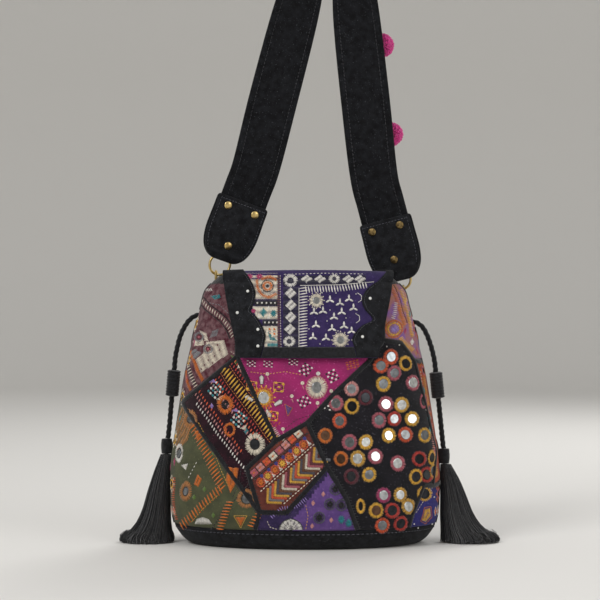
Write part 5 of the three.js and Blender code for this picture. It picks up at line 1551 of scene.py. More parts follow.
def wound_cap(name, x, top):
    """A barrel of thread: radius r(z) with one rib per winding."""
    level = np.linspace(0, 1, CAP_ROWS)
    rib = np.abs(np.sin(level * np.pi * CAP_WINDINGS))
    radius = CAP_RADIUS * (0.80 + 0.12 * np.sin(level * np.pi) + 0.07 * rib)
    radius[[0, -1]] = CAP_RADIUS * 0.55
    turn = circle(CAP_SIDES)
    places = np.stack([x + radius[:, None] * np.cos(turn), radius[:, None] * np.sin(turn),
                       (top - CAP_HEIGHT * level)[:, None] + 0 * turn], axis=-1)
    add_piece(f"wound_cap_{name}", places, tube_faces(1, CAP_ROWS, CAP_SIDES), tape_cotton, "bag",
              "black_cotton",
              [f"tassel_cap_{name}"])


for name in ("left", "right"):
    wound_cap(name, *CAP_TOPS[name])
    skirt(name, SKIRTS[name])

# Embroidery of the front patches
# Stranded cotton worked by hand, patch by patch. Every place is a picture point, laid on the cloth by line
# of sight.
floral = Needlework(front_ground)
FLORAL_LADDER = [(202, 299), (209, 307), (217, 313), (225, 320), (230, 328), (233, 336)]
LADDER_BORDERS = [(2.4, -2.4), (-2.4, 2.4)]
for right, down in LADDER_BORDERS:
    floral.ladder([(x + right, y + down) for x, y in FLORAL_LADDER], 0.9, "black", 1.0, 1.0, 0.0)
floral.ladder(FLORAL_LADDER, 1.9, "cream", 2.9, 1.2, 0.5)
FLORAL_EDGES = [
    ("ladder", [(204, 290.5), (213, 289.5)], 1.5, "white", 2.0, 1.1, 0.5),
    ("running", [(212, 303), (221, 305), (230, 314), (235, 326)], "grey", 1.8, 1.0, 0.9),
]
floral.follow(FLORAL_EDGES)
TEAL_LEAF = [(212, 296), (221, 294.5), (222, 298), (216, 299.5)]
floral.satin(TEAL_LEAF, "teal", 10)
CREAM_QUAD = [(208, 342), (225, 340), (229, 354), (202, 373), (197, 360), (204, 356)]
floral.satin(CREAM_QUAD, "cream", -38, 0.9, 0.35)
FLORAL_LEAVES = [
    ("satin", [(194, 341), (205, 339.5), (206, 345), (196, 346)], "cream", 10, 0.9, 0.35),
    ("satin", [(201, 330), (208, 333), (210, 341), (206.5, 341), (205, 334)], "cream", 60, 0.9, 0.35),
    ("satin", [(211, 338), (214, 331), (220, 329), (218, 336)], "grey", -50, 0.9, 0.35),
    ("satin", [(190, 352), (197, 349), (203, 353), (198, 358), (194, 360)], "grey", 20, 1.1, 0.35),
]
floral.follow(FLORAL_LEAVES)
FLORAL_EYES = [(201, 337), (210, 349)]
for x, y in FLORAL_EYES:
    floral.ring((x, y), (3.0, 3.0), (5.0, 5.0), "grey")
    floral.ring((x, y), 0.3, (3.8, 3.9), "maroon")
    floral.ring((x, y), 0.1, (1.2, 1.3), "rose")
FLORAL_BANDS = [
    ("dots", [(219, 345), (221, 350), (216, 356), (210, 360), (206, 365), (214, 363),
     (203, 369)], "maroon", 2.0),
    ("ladder", [(189, 342), (191, 352), (196, 362), (199, 371), (203, 380)], 1.9, "orange", 1.2, 1.2, 0.6),
    ("ladder", [(184, 363), (187.5, 376), (191, 390)], 1.5, "orange", 1.2, 1.2, 0.6),
    ("ladder", [(188.5, 364), (192, 374), (196, 386)], 2.2, "cream", 2.8, 1.3, 0.3),
    ("ladder", [(189.5, 366), (193, 376), (196, 384)], 2.2, "black", 2.8, 1.3, 0.3),
]
floral.follow(FLORAL_BANDS)
floral.finish("embroidery_floral", "bag", "cream_maroon_cloth")

rungs = Needlework(front_ground)
RUNG_LINE = [(225, 369), (240, 390), (256, 412), (269, 431), (275, 439)]
rungs.ladder(RUNG_LINE, 4.4, "yellow", 3.8, 1.9, 0.3, 1.0)
rungs.running([(x - 5.2, y + 2.6) for x, y in RUNG_LINE], "orange", 2.0, 0.7)
rungs.running([(x + 5.4, y - 2.6) for x, y in RUNG_LINE[:-1]], "orange", 2.0, 0.7)
RUNG_RINGS = [
    ("ring", (226.4, 404.5), (3.9, 4.9), (8.4, 9.9), "orange"),
    ("ring", (226.4, 404.5), 0.3, (3.9, 4.9), "black"),
    ("ring", (255.8, 444), (4.6, 5.4), (9.6, 11.4), "cream"),
    ("mirror", (255.8, 444), (4.2, 5.0), 0.8, "black", "dark"),
]
rungs.follow(RUNG_RINGS)
CHECK_FLOWERS = [(217, 390), (240, 419)]
for x, y in CHECK_FLOWERS:
    rungs.grid((x, y), 6.4, 7.6, 42, ("white", "teal"), 4)
    rungs.satin([(x - 8, y - 8), (x - 3, y - 11), (x + 1, y - 7)], "lilac", 15)
    rungs.satin([(x + 1, y + 9), (x + 6, y + 11), (x + 8, y + 5)], "cream", 40)
SMALL_RUNG_RING = [("ring", (231, 429.5), (3.4, 4.4), (5.8, 7.2), "orange")]
rungs.follow(SMALL_RUNG_RING)
RUNG_ROWS = [(9, "red"), (13.5, "coral"), (18, "pink"), (33, "coral"), (37.5, "pink"), (-9, "red"),
             (-13, "coral")]
for offset, thread in RUNG_ROWS:
    rungs.ladder([(x - offset * 0.82, y + offset * 0.6) for x, y in RUNG_LINE[:-1]], 1.5, thread, 3.6, 1.5,
                 0.5)
RUNG_DETAILS = [
    ("ladder", [(198, 404), (216, 430), (235, 456), (252, 478)], 1.4, "white", 3.4, 1.6, 0.6),
    ("satin", [(231, 355), (238, 358), (236.5, 365)], "green", 40),
    ("running", [(232, 352), (240, 357), (238, 368)], "cream", 1.6, 1.0),
    ("diamond", (247, 431), 2.4, 3.2, "teal", 20),
    ("diamond", (213, 406), 2.0, 3.0, "lilac", 20),
]
rungs.follow(RUNG_DETAILS)
rungs.finish("embroidery_rungs", "bag", "dark_maroon_cloth")

magenta_work = Needlework(front_ground)
SUN, SPOKES = np.array([264.2, 397.4]), 14
magenta_work.mirror(SUN, (5.4, 6.0), 2.6, "yellow", "white")
magenta_work.ring(SUN, (7.8, 8.4), (9.6, 10.2), "orange")
spoke_turn = circle(SPOKES)
spoke_ends = spokes(spoke_turn)
magenta_work.sew(SUN + spoke_ends * 9.8, SUN + spoke_ends * [12.2, 12.8], "yellow", 1.6, 0.6)
SUN_PETALS = [(262, 381, 0), (277.5, 403.5, 60), (250.5, 399, -60), (268, 412.5, 150)]
for x, y, lean in SUN_PETALS:
    petal = np.array([(-2.4, -4), (0, -6), (2.4, -4), (1.6, 3), (-1.6, 3)])
    turned = petal @ np.array([[math.cos(math.radians(lean)), math.sin(math.radians(lean))],
                               [-math.sin(math.radians(lean)), math.cos(math.radians(lean))]]) + (x, y)
    magenta_work.satin(turned, "white", lean, 0.9, 0.6)
    magenta_work.outline(turned, "black", 0.6)
SUN_CHECKS = [(252, 386), (279.5, 387), (273.5, 416)]
for x, y in SUN_CHECKS:
    magenta_work.grid((x, y), 5.4, 5.4, 12, ("yellow", "maroon"), 3)
    magenta_work.outline([(x - 5, y - 5), (x + 5, y - 4), (x + 4, y + 5), (x - 5.4, y + 4)], "yellow", 0.9)
MAGENTA_FLOWER = [
    ("mirror", (316.6, 387.5), (5.0, 5.6), 5.0, "cream", "shiny"),
    ("ring", (316.6, 387.5), (9.6, 10.4), (10.8, 11.6), "pink"),
    ("ring", (318, 373.6), 0.3, 2.2, "white"),
]
magenta_work.follow(MAGENTA_FLOWER)
MAGENTA_BUDS = [(302.5, 383), (317.5, 403), (331, 391), (283, 429), (240, 366.5), (292, 396), (268, 374)]
for x, y in MAGENTA_BUDS:
    magenta_work.ring((x, y), 0.3, 1.9, "cream")
    magenta_work.sew((x, y + 2.4), (x + 1.5, y + 6.4), "pink", 1.0)
LEANING_CHECKS = [(305.8, 369.5, 35), (332, 376, -30), (304, 401.5, 60), (330, 405, 20)]
for x, y, lean in LEANING_CHECKS:
    magenta_work.grid((x, y), 5.4, 6.2, lean, ("black", "white"), 4)
UPPER_CHECKS = [(268.8, 364), (293.5, 362), (252, 363.5)]
for x, y in UPPER_CHECKS:
    magenta_work.grid((x, y), 5.0, 3.4, 4, ("white", "black"), 4)
MAGENTA_DETAILS = [
    ("grid", (352, 364.5), 7.0, 4.4, -14, ("red", "orange"), 4),
    ("satin", [(285, 404), (293, 408), (288, 416)], "violet", 35),
    ("outline", [(285, 404), (293, 408), (288, 416)], "orange"),
    ("running", [(252, 372), (268, 374), (286, 371.5), (300, 374.5)], "yellow", 1.8, 1.4),
    ("running", [(286, 428), (296, 420), (312, 414), (325, 408)], "black", 2.0, 1.4),
    ("ladder", [(274, 428), (279, 436), (285, 441)], 1.8, "cream", 2.0, 0.9),
]
magenta_work.follow(MAGENTA_DETAILS)
magenta_work.finish("embroidery_magenta", "bag", "magenta_cloth")

olive = Needlework(front_ground)
OLIVE_RINGS = [(191.5, 419, 7.0, 9.4, 0.5, "tan"), (187.6, 491.3, 6.2, 10.4, 0.45, "tan"),
               (247.0, 498.5, 9.6, 9.8, 0.58, "tan"), (181, 453, 4.0, 9.8, 0.55, "white")]
for x, y, across, up, hole, thread in OLIVE_RINGS:
    olive.ring((x, y), (across * hole, up * hole), (across, up), thread)
    olive.mirror((x, y), (across * hole * 0.85, up * hole * 0.85), 0.7, "black", "grey")
OLIVE_SHAPES = [
    ("satin", [(195, 430), (204, 434), (198, 440)], "orange", 25),
    ("satin", [(183, 465), (190, 463.5), (187.5, 470)], "white", 15),
    ("running", [(198, 463), (194, 470), (190, 477)], "white", 2.0, 1.6, 1.0),
    ("satin", [(182, 405), (196, 412), (189, 440), (178, 452), (175.5, 428)], "tan", 75, 1.5, 0.3),
]
olive.follow(OLIVE_SHAPES)
OLIVE_BAND = [(194, 426), (204, 446), (214, 467), (223, 488)]
olive.ladder(OLIVE_BAND, 4.4, "orange", 3.7, 1.7, 0.4, 1.0)
olive.running([(x + 5.6, y - 2.6) for x, y in OLIVE_BAND], "yellow", 2.0, 1.0)
OLIVE_BANDS = [
    ("ladder", [(221, 489), (207, 502), (193, 516), (182, 526)], 4.4, "orange", 3.7, 1.7, -0.3, 1.0),
    ("running", [(218, 496), (206, 507), (193, 521)], "yellow", 2.0, 1.0),
    ("ladder", [(175.5, 478), (175.2, 498), (177, 519)], 1.8, "coral", 2.2, 1.1),
    ("satin", [(195, 484), (199, 474), (203.5, 479), (200, 487)], "orange", 60),
    ("satin", [(228, 467), (239, 468), (236.5, 482), (231, 493), (226.5, 480)], "orange", 12, 0.9, 0.65),
    ("running", [(241.5, 468), (239.5, 482), (234, 496)], "black", 2.4, 0.9, 1.0),
    ("running", [(249, 484), (232, 504), (212, 528)], "black", 3.0, 0.6, 1.2),
    ("satin", [(236.5, 517), (246, 517), (241, 526)], "orange", 0),
    ("outline", [(235, 515.6), (247.6, 515.6), (241, 528)], "yellow"),
    ("ladder", [(231, 502), (226, 515), (220, 529)], 3.6, "orange", 3.4, 1.7, 0.3, 1.0),
    ("ladder", [(260, 511), (256, 519), (251.5, 526)], 3.6, "orange", 3.4, 1.7, 0.3, 1.0),
    ("satin", [(195, 524), (198, 518.5), (204, 517), (210, 519), (212.5, 524)], "white", 90),
]
olive.follow(OLIVE_BANDS)
OLIVE_SPECKS = [(206, 440), (214, 453), (206, 489), (196, 497), (215, 515)]
for x, y in OLIVE_SPECKS:
    olive.diamond((x, y), 2.2, 2.8, "green", 20)
olive.finish("embroidery_olive", "bag", "olive_cloth")

chevrons = Needlework(front_ground)
ROW_CORNER = np.array([254.0, 465.5])
ROW_ALONG, ROW_DOWN = np.array([0.747, -0.664]), np.array([0.664, 0.747])


def in_rows(*places):
    """Picture points of places given along and down the rows."""
    return np.array([ROW_CORNER + ROW_ALONG * along + ROW_DOWN * down for along, down in places])


for k in range(-1, 7):
    start = k * 8.4
    block = in_rows((start, 2), (start + 7.6, 2), (start + 7.6, 9.5), (start, 9.5))
    chevrons.satin(block, ("pink", "coral", "cream", "rose")[k % 4], 48, 0.9, 0.6)
    chevrons.outline(block, "black", 0.8)
    chevrons.diamond(in_rows((start + 3.8, 5.8))[0], 1.8, 2.2, "orange", 20)
chevrons.running(in_rows((-7, 11.2), (60, 11.2)), "black", 4.0, 0.2, 1.6)
for k in range(-1, 6):
    start = k * 9.4 + 4
    chevrons.ring(in_rows((start, 17.5))[0], 0.4, (3.4, 3.8), ("yellow", "orange")[k % 2])
    chevrons.ring(in_rows((start, 17.5))[0], (3.4, 3.8), (4.6, 5.0), "coral")
    chevrons.satin(in_rows((start + 3.2, 22), (start + 4.8, 14), (start + 6.4, 22)), "white", 48)
    chevrons.ring(in_rows((start + 4.8, 13.4))[0], 0.3, (1.9, 2.1), "indigo")
chevrons.running(in_rows((-11, 24), (58, 24)), "cream", 2.4, 1.2, 1.3)
CHEVRON_THREADS = ("yellow", "slate", "brown", "cream", "rose", "maroon", "yellow", "grey", "coral")
for k in range(-3, 17):
    start = k * 3.4 - 4
    band = in_rows((start + 10, 27), (start, 36.5), (start + 10, 46))
    chevrons.ladder(evenly(band, 0.8), 1.5, CHEVRON_THREADS[k % 9], 1.1, 1.1)
chevrons.running(in_rows((-2, 48.5), (46, 48.5)), "cream", 2.4, 1.2, 1.3)
chevrons.finish("embroidery_chevrons", "bag", "chevron_cloth")

purple = Needlework(front_ground)
WHEEL, WHEEL_RADIUS = np.array([291.0, 531.0]), 12.2
wheel_turn = np.linspace(np.pi * 1.03, np.pi * 1.97, 9)
wheel_edge = WHEEL + WHEEL_RADIUS * spokes(wheel_turn)
purple.satin(wheel_edge, "white", 0, 0.9, 0.45)
for edge in wheel_edge[1:-1]:
    purple.outline([WHEEL, edge], "black", 0.9, closed=False)
purple.outline(wheel_edge, "black", 1.1, closed=False)
BLACK_SPOTS = [(335, 489), (329.5, 504), (319, 517.5), (341, 505)]
for x, y in BLACK_SPOTS:
    purple.ring((x, y), 0.3, (4.6, 4.8), "black")
    purple.ring((x, y), (4.6, 4.8), (5.9, 6.2), "slate")
TEAL_SPOTS = [(341, 519.5), (348.5, 523)]
for x, y in TEAL_SPOTS:
    purple.ring((x, y), 0.3, (3.6, 4.4), "teal")
PURPLE_LINES = [
    ("ladder", [(272, 517), (282, 508), (296, 507), (306, 499)], 2.0, "lilac", 2.4, 1.0),
    ("running", [(306, 506), (308, 516), (306, 528)], "yellow", 2.0, 1.2),
    ("running", [(268, 522), (270, 527), (276, 529)], "cream", 2.0, 1.2),
]
purple.follow(PURPLE_LINES)
PINK_SPECKS = [(313, 503), (312, 526), (323, 494), (331, 520)]
for x, y in PINK_SPECKS:
    purple.diamond((x, y), 2.2, 2.8, "pink", 20)
purple.finish("embroidery_purple", "bag", "purple_cloth")

lilac = Needlework(front_ground)
LILAC_STITCHES = [
    ("ring", (393, 329), 0.3, (4.6, 4.8), "lilac"),
    ("ring", (393, 329), (4.8, 5.0), (6.8, 7.2), "yellow"),
    ("ring", (393, 329), (7.0, 7.4), (8.8, 9.2), "orange"),
    ("ladder", [(390, 286), (396, 299), (399, 312), (403, 324)], 2.2, "orange", 1.6, 1.2),
    ("outline", [(392.5, 285), (398.5, 299), (401.5, 312), (405.5, 323)], "maroon", 1.6, False),
    ("ladder", [(399, 290), (404, 305), (407.5, 320), (411, 336)], 1.8, "yellow", 1.6, 1.2),
    ("ladder", [(400, 338), (406, 345), (412, 350)], 2.4, "yellow", 1.6, 1.2),
    ("outline", [(398, 341), (404, 348.5), (410, 353.5)], "red", 1.4, False),
    ("ladder", [(395, 303), (394, 312), (392, 318)], 2.0, "white", 2.0, 0.9),
]
lilac.follow(LILAC_STITCHES)
LILAC_SPECKS = [(404, 300, "yellow"), (408, 314, "teal"), (404, 331, "magenta"), (411, 342, "white")]
for x, y, thread in LILAC_SPECKS:
    lilac.diamond((x, y), 2.0, 3.4, thread, 20)
lilac.finish("embroidery_lilac", "bag", "lilac_cloth")

edge_work = Needlework(front_ground)
STRIP_STITCHES = [
    ("ladder", [(424, 378), (427, 396), (429, 412)], 2.4, "yellow", 2.0, 1.1),
    ("ladder", [(432, 424), (433, 440), (433, 452)], 2.0, "pink", 2.2, 1.1),
    ("running", [(420, 372), (423, 392), (425.5, 410)], "white", 1.8, 1.4),
]
edge_work.follow(STRIP_STITCHES)
STRIP_SPECKS = [(429, 418), (434, 458)]
for x, y in STRIP_SPECKS:
    edge_work.diamond((x, y), 2.2, 3.6, "teal", 20)
edge_work.finish("embroidery_side_strip", "bag", "orange_cloth")

blue_work = Needlework(front_ground)
BLUE_STITCHES = [
    ("satin", [(421, 520), (424, 509), (429, 508), (429.5, 516), (425, 522)], "yellow", 60),
    ("outline", [(420, 521), (423.5, 507.4), (430, 506.6), (430.6, 517), (425, 524)], "orange"),
    ("running", [(416, 512), (424, 499), (431.5, 488)], "cream", 1.8, 1.2),
    ("dots", [(414, 524), (418, 528), (432, 524), (433, 497)], "white", 1.8),
]
blue_work.follow(BLUE_STITCHES)
blue_work.finish("embroidery_blue", "bag", "blue_cloth")

# Embroidery of the flap
# Borders, diamonds, rings and small mirrors on the violet cloth, and a scrap of cream and orange work along
# its left edge. White studs stand on the suede sides.
FLAP_SIGHT_STEPS = 10


def flap_ground(drawing):
    """The flap, drawn on in picture points: where the line of sight meets its front below the fold, or the
    fold's own arc above."""
    rays = sight(drawing)
    depth = np.full(drawing.shape[:-1], -BODY_DEPTH / 2)
    for step in range(FLAP_SIGHT_STEPS):
        place = EYE + rays * (depth - EYE[1])[..., None]
        top = flap_crown(place[..., 0])
        level = np.minimum(place[..., 2], top - 0.05)
        fold_y = -rim_depth(place[..., 0], top - FLAP_FOLD, FLAP_LIFT + FLAP_THICKNESS)
        rise = np.clip(level - (top - FLAP_FOLD), 0, FLAP_FOLD * 0.98)
        on_arc = fold_y + FLAP_FOLD - np.sqrt(FLAP_FOLD**2 - rise**2)
        front = -rim_depth(place[..., 0], np.minimum(level, top - FLAP_FOLD), FLAP_LIFT + FLAP_THICKNESS)
        depth = np.where(level > top - FLAP_FOLD, on_arc, front)
    return np.stack([place[..., 0], depth, level], axis=-1)


flap_work = Needlework(flap_ground)
SCRAP_GROUNDS = [[(244, 273), (277.5, 273), (277.5, 299), (252, 299)],
                 [(252, 306), (277.5, 306), (277.5, 319), (257, 319)],
                 [(262, 326), (277.5, 326), (277.5, 348), (265, 348)]]
for corners in SCRAP_GROUNDS:
    flap_work.satin(corners, "cream", 90, 1.0, 0.2)
DARK_BORDERS = [[(283, 273), (366, 273), (366, 285), (283, 287)], [(283, 287), (300, 287), (300, 348),
                (283, 348)]]
for corners in DARK_BORDERS:
    flap_work.satin(corners, "night", 90, 1.0, 0.2)
BERRIES_ACROSS = [249.5, 259.5]
for x in BERRIES_ACROSS:
    flap_work.ring((x, 276.5), 0.3, (3.8, 2.8), "magenta")
SCRAP_RING = [
    ("ring", (267.5, 286), (2.6, 2.6), (5.6, 5.2), "orange"),
    ("ring", (267.5, 286), (5.4, 5.0), (6.6, 6.2), "black"),
    ("ring", (267.5, 286), 0.3, (1.6, 1.6), "black"),
]
flap_work.follow(SCRAP_RING)
CURLS = [[(257, 280), (257.5, 288), (262, 295), (269, 297.5), (276, 294)],
         [(262, 279), (270, 276.5), (276, 280)]]
for curl in CURLS:
    line = evenly(np.array(curl, float), 1.0)
    flap_work.ladder(line, 2.6, "black", 1.3, 0.9, 0, 0.45)
    flap_work.ladder(line, 1.7, "orange", 1.3, 1.2, 0, 0.9)
BEAD_ROWS = [(303, (257.5, 262, 266.5, 271, 275)), (322.5, (265, 269, 273, 277))]
for y, places in BEAD_ROWS:
    flap_work.satin([(places[0] - 2.6, y - 3.2), (277.5, y - 3.2), (277.5, y + 3.2),
                     (places[0] - 2.6, y + 3.2)], "black",
                    90, 1.0, 0.3)
    flap_work.dots([(x, y) for x in places], "white", 2.6)
SCRAP_BERRIES = [
    ("ring", (253.5, 311), 0.3, 2.4, "magenta"),
    ("diamond", (263.3, 312.5), 4.0, 5.0, "teal", 20),
    ("ring", (273.5, 313.5), 0.3, (3.2, 3.8), "teal"),
]
flap_work.follow(SCRAP_BERRIES)
WHITE_PETALS = [(258.5, 316), (268.6, 317), (268.6, 308)]
for x, y in WHITE_PETALS:
    flap_work.satin([(x - 2, y + 2), (x, y - 2.4), (x + 2, y + 2)], "white", 0)
SCRAP_DETAILS = [
    ("grid", (272, 331.5), 5.0, 5.0, 45, ("cream", "orange"), 3),
    ("satin", [(267.6, 331.6), (272.5, 336), (277.7, 341.3), (270, 340)], "teal", 45, 0.9, 0.8),
    ("satin", [(267, 343), (277.6, 343), (277.6, 347), (267.6, 347)], "teal", 90),
    ("ladder", [(278.6, 276), (278.8, 312), (279.2, 347)], 2.2, "brown", 1.7, 1.0),
    ("running", [(280.3, 276), (280.4, 312), (281, 347)], "white", 1.2, 1.4, 0.9, 1.0),
]
flap_work.follow(SCRAP_DETAILS)

CORNER_RINGS = [(290.5, 280.5, 3.0, 6.0), (334.3, 278.8, 2.0, 4.4), (289.2, 341.5, 2.4, 5.0)]
for x, y, inner, outer in CORNER_RINGS:
    flap_work.ring((x, y), inner, (outer + 1.2, outer * 1.1), "white")
    flap_work.ring((x, y), 0.3, (inner * 0.7, inner * 0.63), "slate")
SIDE_DIAMONDS = [(290.6, 293), (291, 305), (290.8, 317), (290, 329)]
for x, y in SIDE_DIAMONDS:
    flap_work.diamond((x, y), 5.8, 5.8, "white", 45)
DIAMONDS_ACROSS = [306.7, 320, 348.3, 360]
for x in DIAMONDS_ACROSS:
    flap_work.diamond((x, 279), 6.0, 4.4, "white", 45)
FLAP_BORDERS = [
    ("ladder", [(303.4, 288), (303.2, 318), (302.8, 346)], 4.4, "white", 2.9, 1.5, 0.15, 0.7),
    ("outline", [(299, 288), (299, 346)], "white", 1.0, False),
    ("ladder", [(306, 289.6), (340, 288.4), (366, 285)], 3.2, "white", 2.9, 1.5, 0.15, 0.7),
    ("outline", [(300, 285.6), (340, 284.8), (374, 281.8)], "white", 1.0, False),
]
flap_work.follow(FLAP_BORDERS)
MIRROR_FLOWERS = [(316.3, 300.5, 7.2), (340.5, 340, 7.8)]
for x, y, radius in MIRROR_FLOWERS:
    flap_work.mirror((x, y), radius * 0.48, radius * 0.5, "cream", "shiny")
    petal_turn = circle(12)
    petals = spokes(petal_turn)
    flap_work.sew((x, y) + petals * radius, (x, y) + petals * (radius + 1.4), "cream", 1.3)
LOBED = [(330, 300), (314, 312), (323, 311), (341.7, 312), (349, 299), (353.5, 308), (332, 328.5),
         (344, 326), (326, 338),
         (351.6, 331), (316, 325), (313, 337), (334, 317), (340, 303)]
for x, y in LOBED:
    for step_x, step_y in ((-4.0, 2.2), (4.0, 2.2), (0, -4.4)):
        flap_work.sew((x, y), (x + step_x, y + step_y), "white", 2.4, 0.8)
FLAP_KNOTS = [
    ("dots", [(309.5, 305), (322, 292.8), (336, 293), (346, 318), (327, 321), (338, 331), (309, 329),
     (320, 344), (352, 340), (330, 310), (356, 294)], "white", 1.6),
]
flap_work.follow(FLAP_KNOTS)
WHITE_HOOKS = [(360, 297.5), (358, 318)]
for x, y in WHITE_HOOKS:
    flap_work.outline([(x - 2.6, y - 4.6), (x + 1.4, y - 2), (x + 1.6, y + 2.4), (x - 2, y + 5)], "white",
                      0.9, closed=False)
FLAP_TOP_LINE = [("running", [(285, 274.4), (324, 273.2), (362, 274)], "white", 2.0, 1.6)]
flap_work.follow(FLAP_TOP_LINE)
flap_work.finish("embroidery_flap", "flap", "purple_cloth")

STUD_RADIUS = 1.5
FLAP_STUDS = [(248.3, 291.7), (369.5, 298.7), (258.3, 329.7), (258.3, 346.3), (362.0, 337.0), (238.0, 313.0)]
STUD_SIDES = 16
enamel = grained("white enamelled studs", "#C9C9C6", 0.3, (1.0, "#CFCFCA", "#E2E2DE"), (0.8, 0.03), shine=0.5)
stud_middle = flap_ground(np.array(FLAP_STUDS))
stud_normal = normals_of(flap_ground, np.array(FLAP_STUDS))
stud_side = unit(np.cross(stud_normal, [0, 0, 1]))
stud_up = np.cross(stud_side, stud_normal)
stud_turn = circle(STUD_SIDES)
stud_rings = []
STUD_RINGS = [(1.0, 0.9), (1.0, 1.9), (0.8, 2.4), (0.3, 2.7)]
for reach, lift in STUD_RINGS:
    round_stud = stud_side[:, None] * np.cos(stud_turn)[:, None] + stud_up[:, None] * np.sin(stud_turn)[:,
                                                                                                        None]
    stud_rings.append(stud_middle[:, None] + round_stud * STUD_RADIUS * reach + stud_normal[:, None] * lift)
add_piece("flap_studs", np.stack(stud_rings, axis=1), tube_faces(len(FLAP_STUDS), len(STUD_RINGS),
                                                                 STUD_SIDES),
          enamel, "flap", "brass")

# Stitching along the flap's suede
# A row of waxed grey thread follows each lobed edge, 2.6 mm inside it, and holds the suede to the
# embroidered cloth.
LOBE_SEAM_INSET = 2.6
for side_name, sign in (("left", -1), ("right", 1)):
    edge_along = np.linspace(0.38, 0.92, 90)
    edge_x = smooth(LOBES[sign], edge_along, 1) + sign * LOBE_SEAM_INSET

    def suede_ground(drawing, line=edge_x, along=edge_along):
        """The suede's face; drawing is distance across from the lobed edge and the place along the flap."""
        x = np.interp(drawing[..., 1], along, line) + drawing[..., 0]
        face = flap_surface(x, drawing[..., 1])
        return face + np.array([0, -1.6, 0.4])

    suede_seam = Needlework(suede_ground, lambda ground, d: np.broadcast_to([0.0, -1.0, 0.1],
                                                                            (*d.shape[:-1], 3)))
    marks = np.linspace(0.385, 0.915, 44)
    gap = (marks[1] - marks[0]) * 0.3
    suede_seam.sew(np.stack([0 * marks, marks - gap], 1), np.stack([0 * marks, marks + gap], 1), "slate",
                   0.6, 0.4)
    suede_seam.finish(f"flap_suede_stitching_{side_name}", "flap", "black_suede")

# Embroidery of the back
# The back's four large pieces carry the same kinds of work: a mirror flower, rows of diamonds, zigzag
# ladders and scattered mirrors. Places are millimetres across and up, seen square from the front.
def back_ground(drawing):
    """The body's back: x and z give the angle pi - arcsin(x / half width)."""
    level = drawing[..., 1]
    share = np.clip(drawing[..., 0] / body_section(level)[0], -WIDEST_SHARE, WIDEST_SHARE)
    return cloth_point(np.pi - np.arcsin(share), level)


def flower(work, centre, radius, thread, other, petals=10):
    """A mirror with a ring and a wreath of satin petals."""
    x, z = centre
    work.mirror((x, z), radius * 0.36, radius * 0.2, thread, "grey")
    turns = circle(petals)
    for turn in turns:
        spoke = np.array([math.cos(turn), math.sin(turn)])
        square = np.array([-spoke[1], spoke[0]])
        tip, root = np.array(centre) + spoke * radius, np.array(centre) + spoke * radius * 0.62
        waist = (tip + root) / 2
        petal = [root, waist + square * radius * 0.16, tip, waist - square * radius * 0.16]
        work.satin(petal, other, math.degrees(turn), 0.9, 0.6)


def zigzag(work, start, end, depth, count, half, thread):
    """A ladder that turns back and forth between two lines."""
    share = np.linspace(0, 1, count)[:, None]
    line = np.array(start) * (1 - share) + np.array(end) * share
    line[1::2] += np.array(depth)
    work.ladder(line, half, thread, 1.9, 1.1)


def diamond_row(work, start, end, count, size, thread, other):
    """Outlined satin diamonds in a row, each with a knot at its middle."""
    for share in np.linspace(0, 1, count):
        x, z = np.array(start) * (1 - share) + np.array(end) * share
        work.diamond((x, z), size * 0.8, size, thread, 45)
        work.outline([(x - size, z), (x, z - size * 1.2), (x + size, z), (x, z + size * 1.2)], other, 0.8)
        work.dots((x, z), "white", 1.8)


def scattered(work, low, high, count, spacing, threads, keep):
    """Mirrors at random places of a box that keep accepts, none nearer than a spacing to another."""
    found = []
    for place in rng.uniform(low, high, (count * 40, 2)):
        if len(found) < count and keep(*place) and all(np.linalg.norm(place - other) > spacing
                                                       for other in found):
            found.append(place)
    for number, place in enumerate(found):
        # Each disc's tone, a painted reflection, comes round five in turn.
        tone = ("grey", "white", "dark", "shiny", "brown")[number % 5]
        work.mirror(place, ROUND * rng.uniform(0.9, 1.05), 2.8, threads[number % len(threads)], tone)


teal_work = Needlework(back_ground)
flower(teal_work, (-62, 190), 21, "orange", "cream", 12)
TEAL_BLOSSOMS = [(-95, 215), (-30, 216), (-97, 160), (-28, 174)]
for x, z in TEAL_BLOSSOMS:
    flower(teal_work, (x, z), 9.5, "yellow", "coral", 8)
diamond_row(teal_work, (-100, 142), (-34, 158), 6, 4.2, "coral", "yellow")
TEAL_LADDER = [("ladder", [(-112, 129), (-70, 140), (-26, 152)], 2.2, "cream", 2.2, 1.0)]
teal_work.follow(TEAL_LADDER)
zigzag(teal_work, (-12, 168), (-3, 222), (7, 0), 11, 1.6, "yellow")
TEAL_KNOTS = [
    ("dots", [(-80, 172), (-45, 170), (-84, 206), (-42, 208), (-62, 218), (-62, 163), (-108, 186),
     (-38, 190)], "white", 2.0),
]
teal_work.follow(TEAL_KNOTS)
teal_work.finish("embroidery_back_teal", "bag", "teal_cloth")

maroon_work = Needlework(back_ground)
diamond_row(maroon_work, (14, 178), (98, 196), 7, 4.6, "orange", "cream")
diamond_row(maroon_work, (20, 214), (92, 222), 6, 4.2, "teal", "yellow")
zigzag(maroon_work, (12, 196), (100, 208), (0, 6), 19, 1.6, "yellow")
MAROON_LINES = [
    ("ladder", [(-6, 158), (50, 164), (104, 170)], 2.2, "coral", 2.2, 1.0),
    ("running", [(-8, 164), (48, 170), (102, 177)], "cream", 2.2, 1.6),
]
maroon_work.follow(MAROON_LINES)
MAROON_KNOTS = [(34, 188), (56, 191), (78, 197)]
for x, z in MAROON_KNOTS:
    maroon_work.ring((x, z - 1), 0.3, 1.8, "pink")
maroon_work.finish("embroidery_back_maroon", "bag", "dark_maroon_cloth")

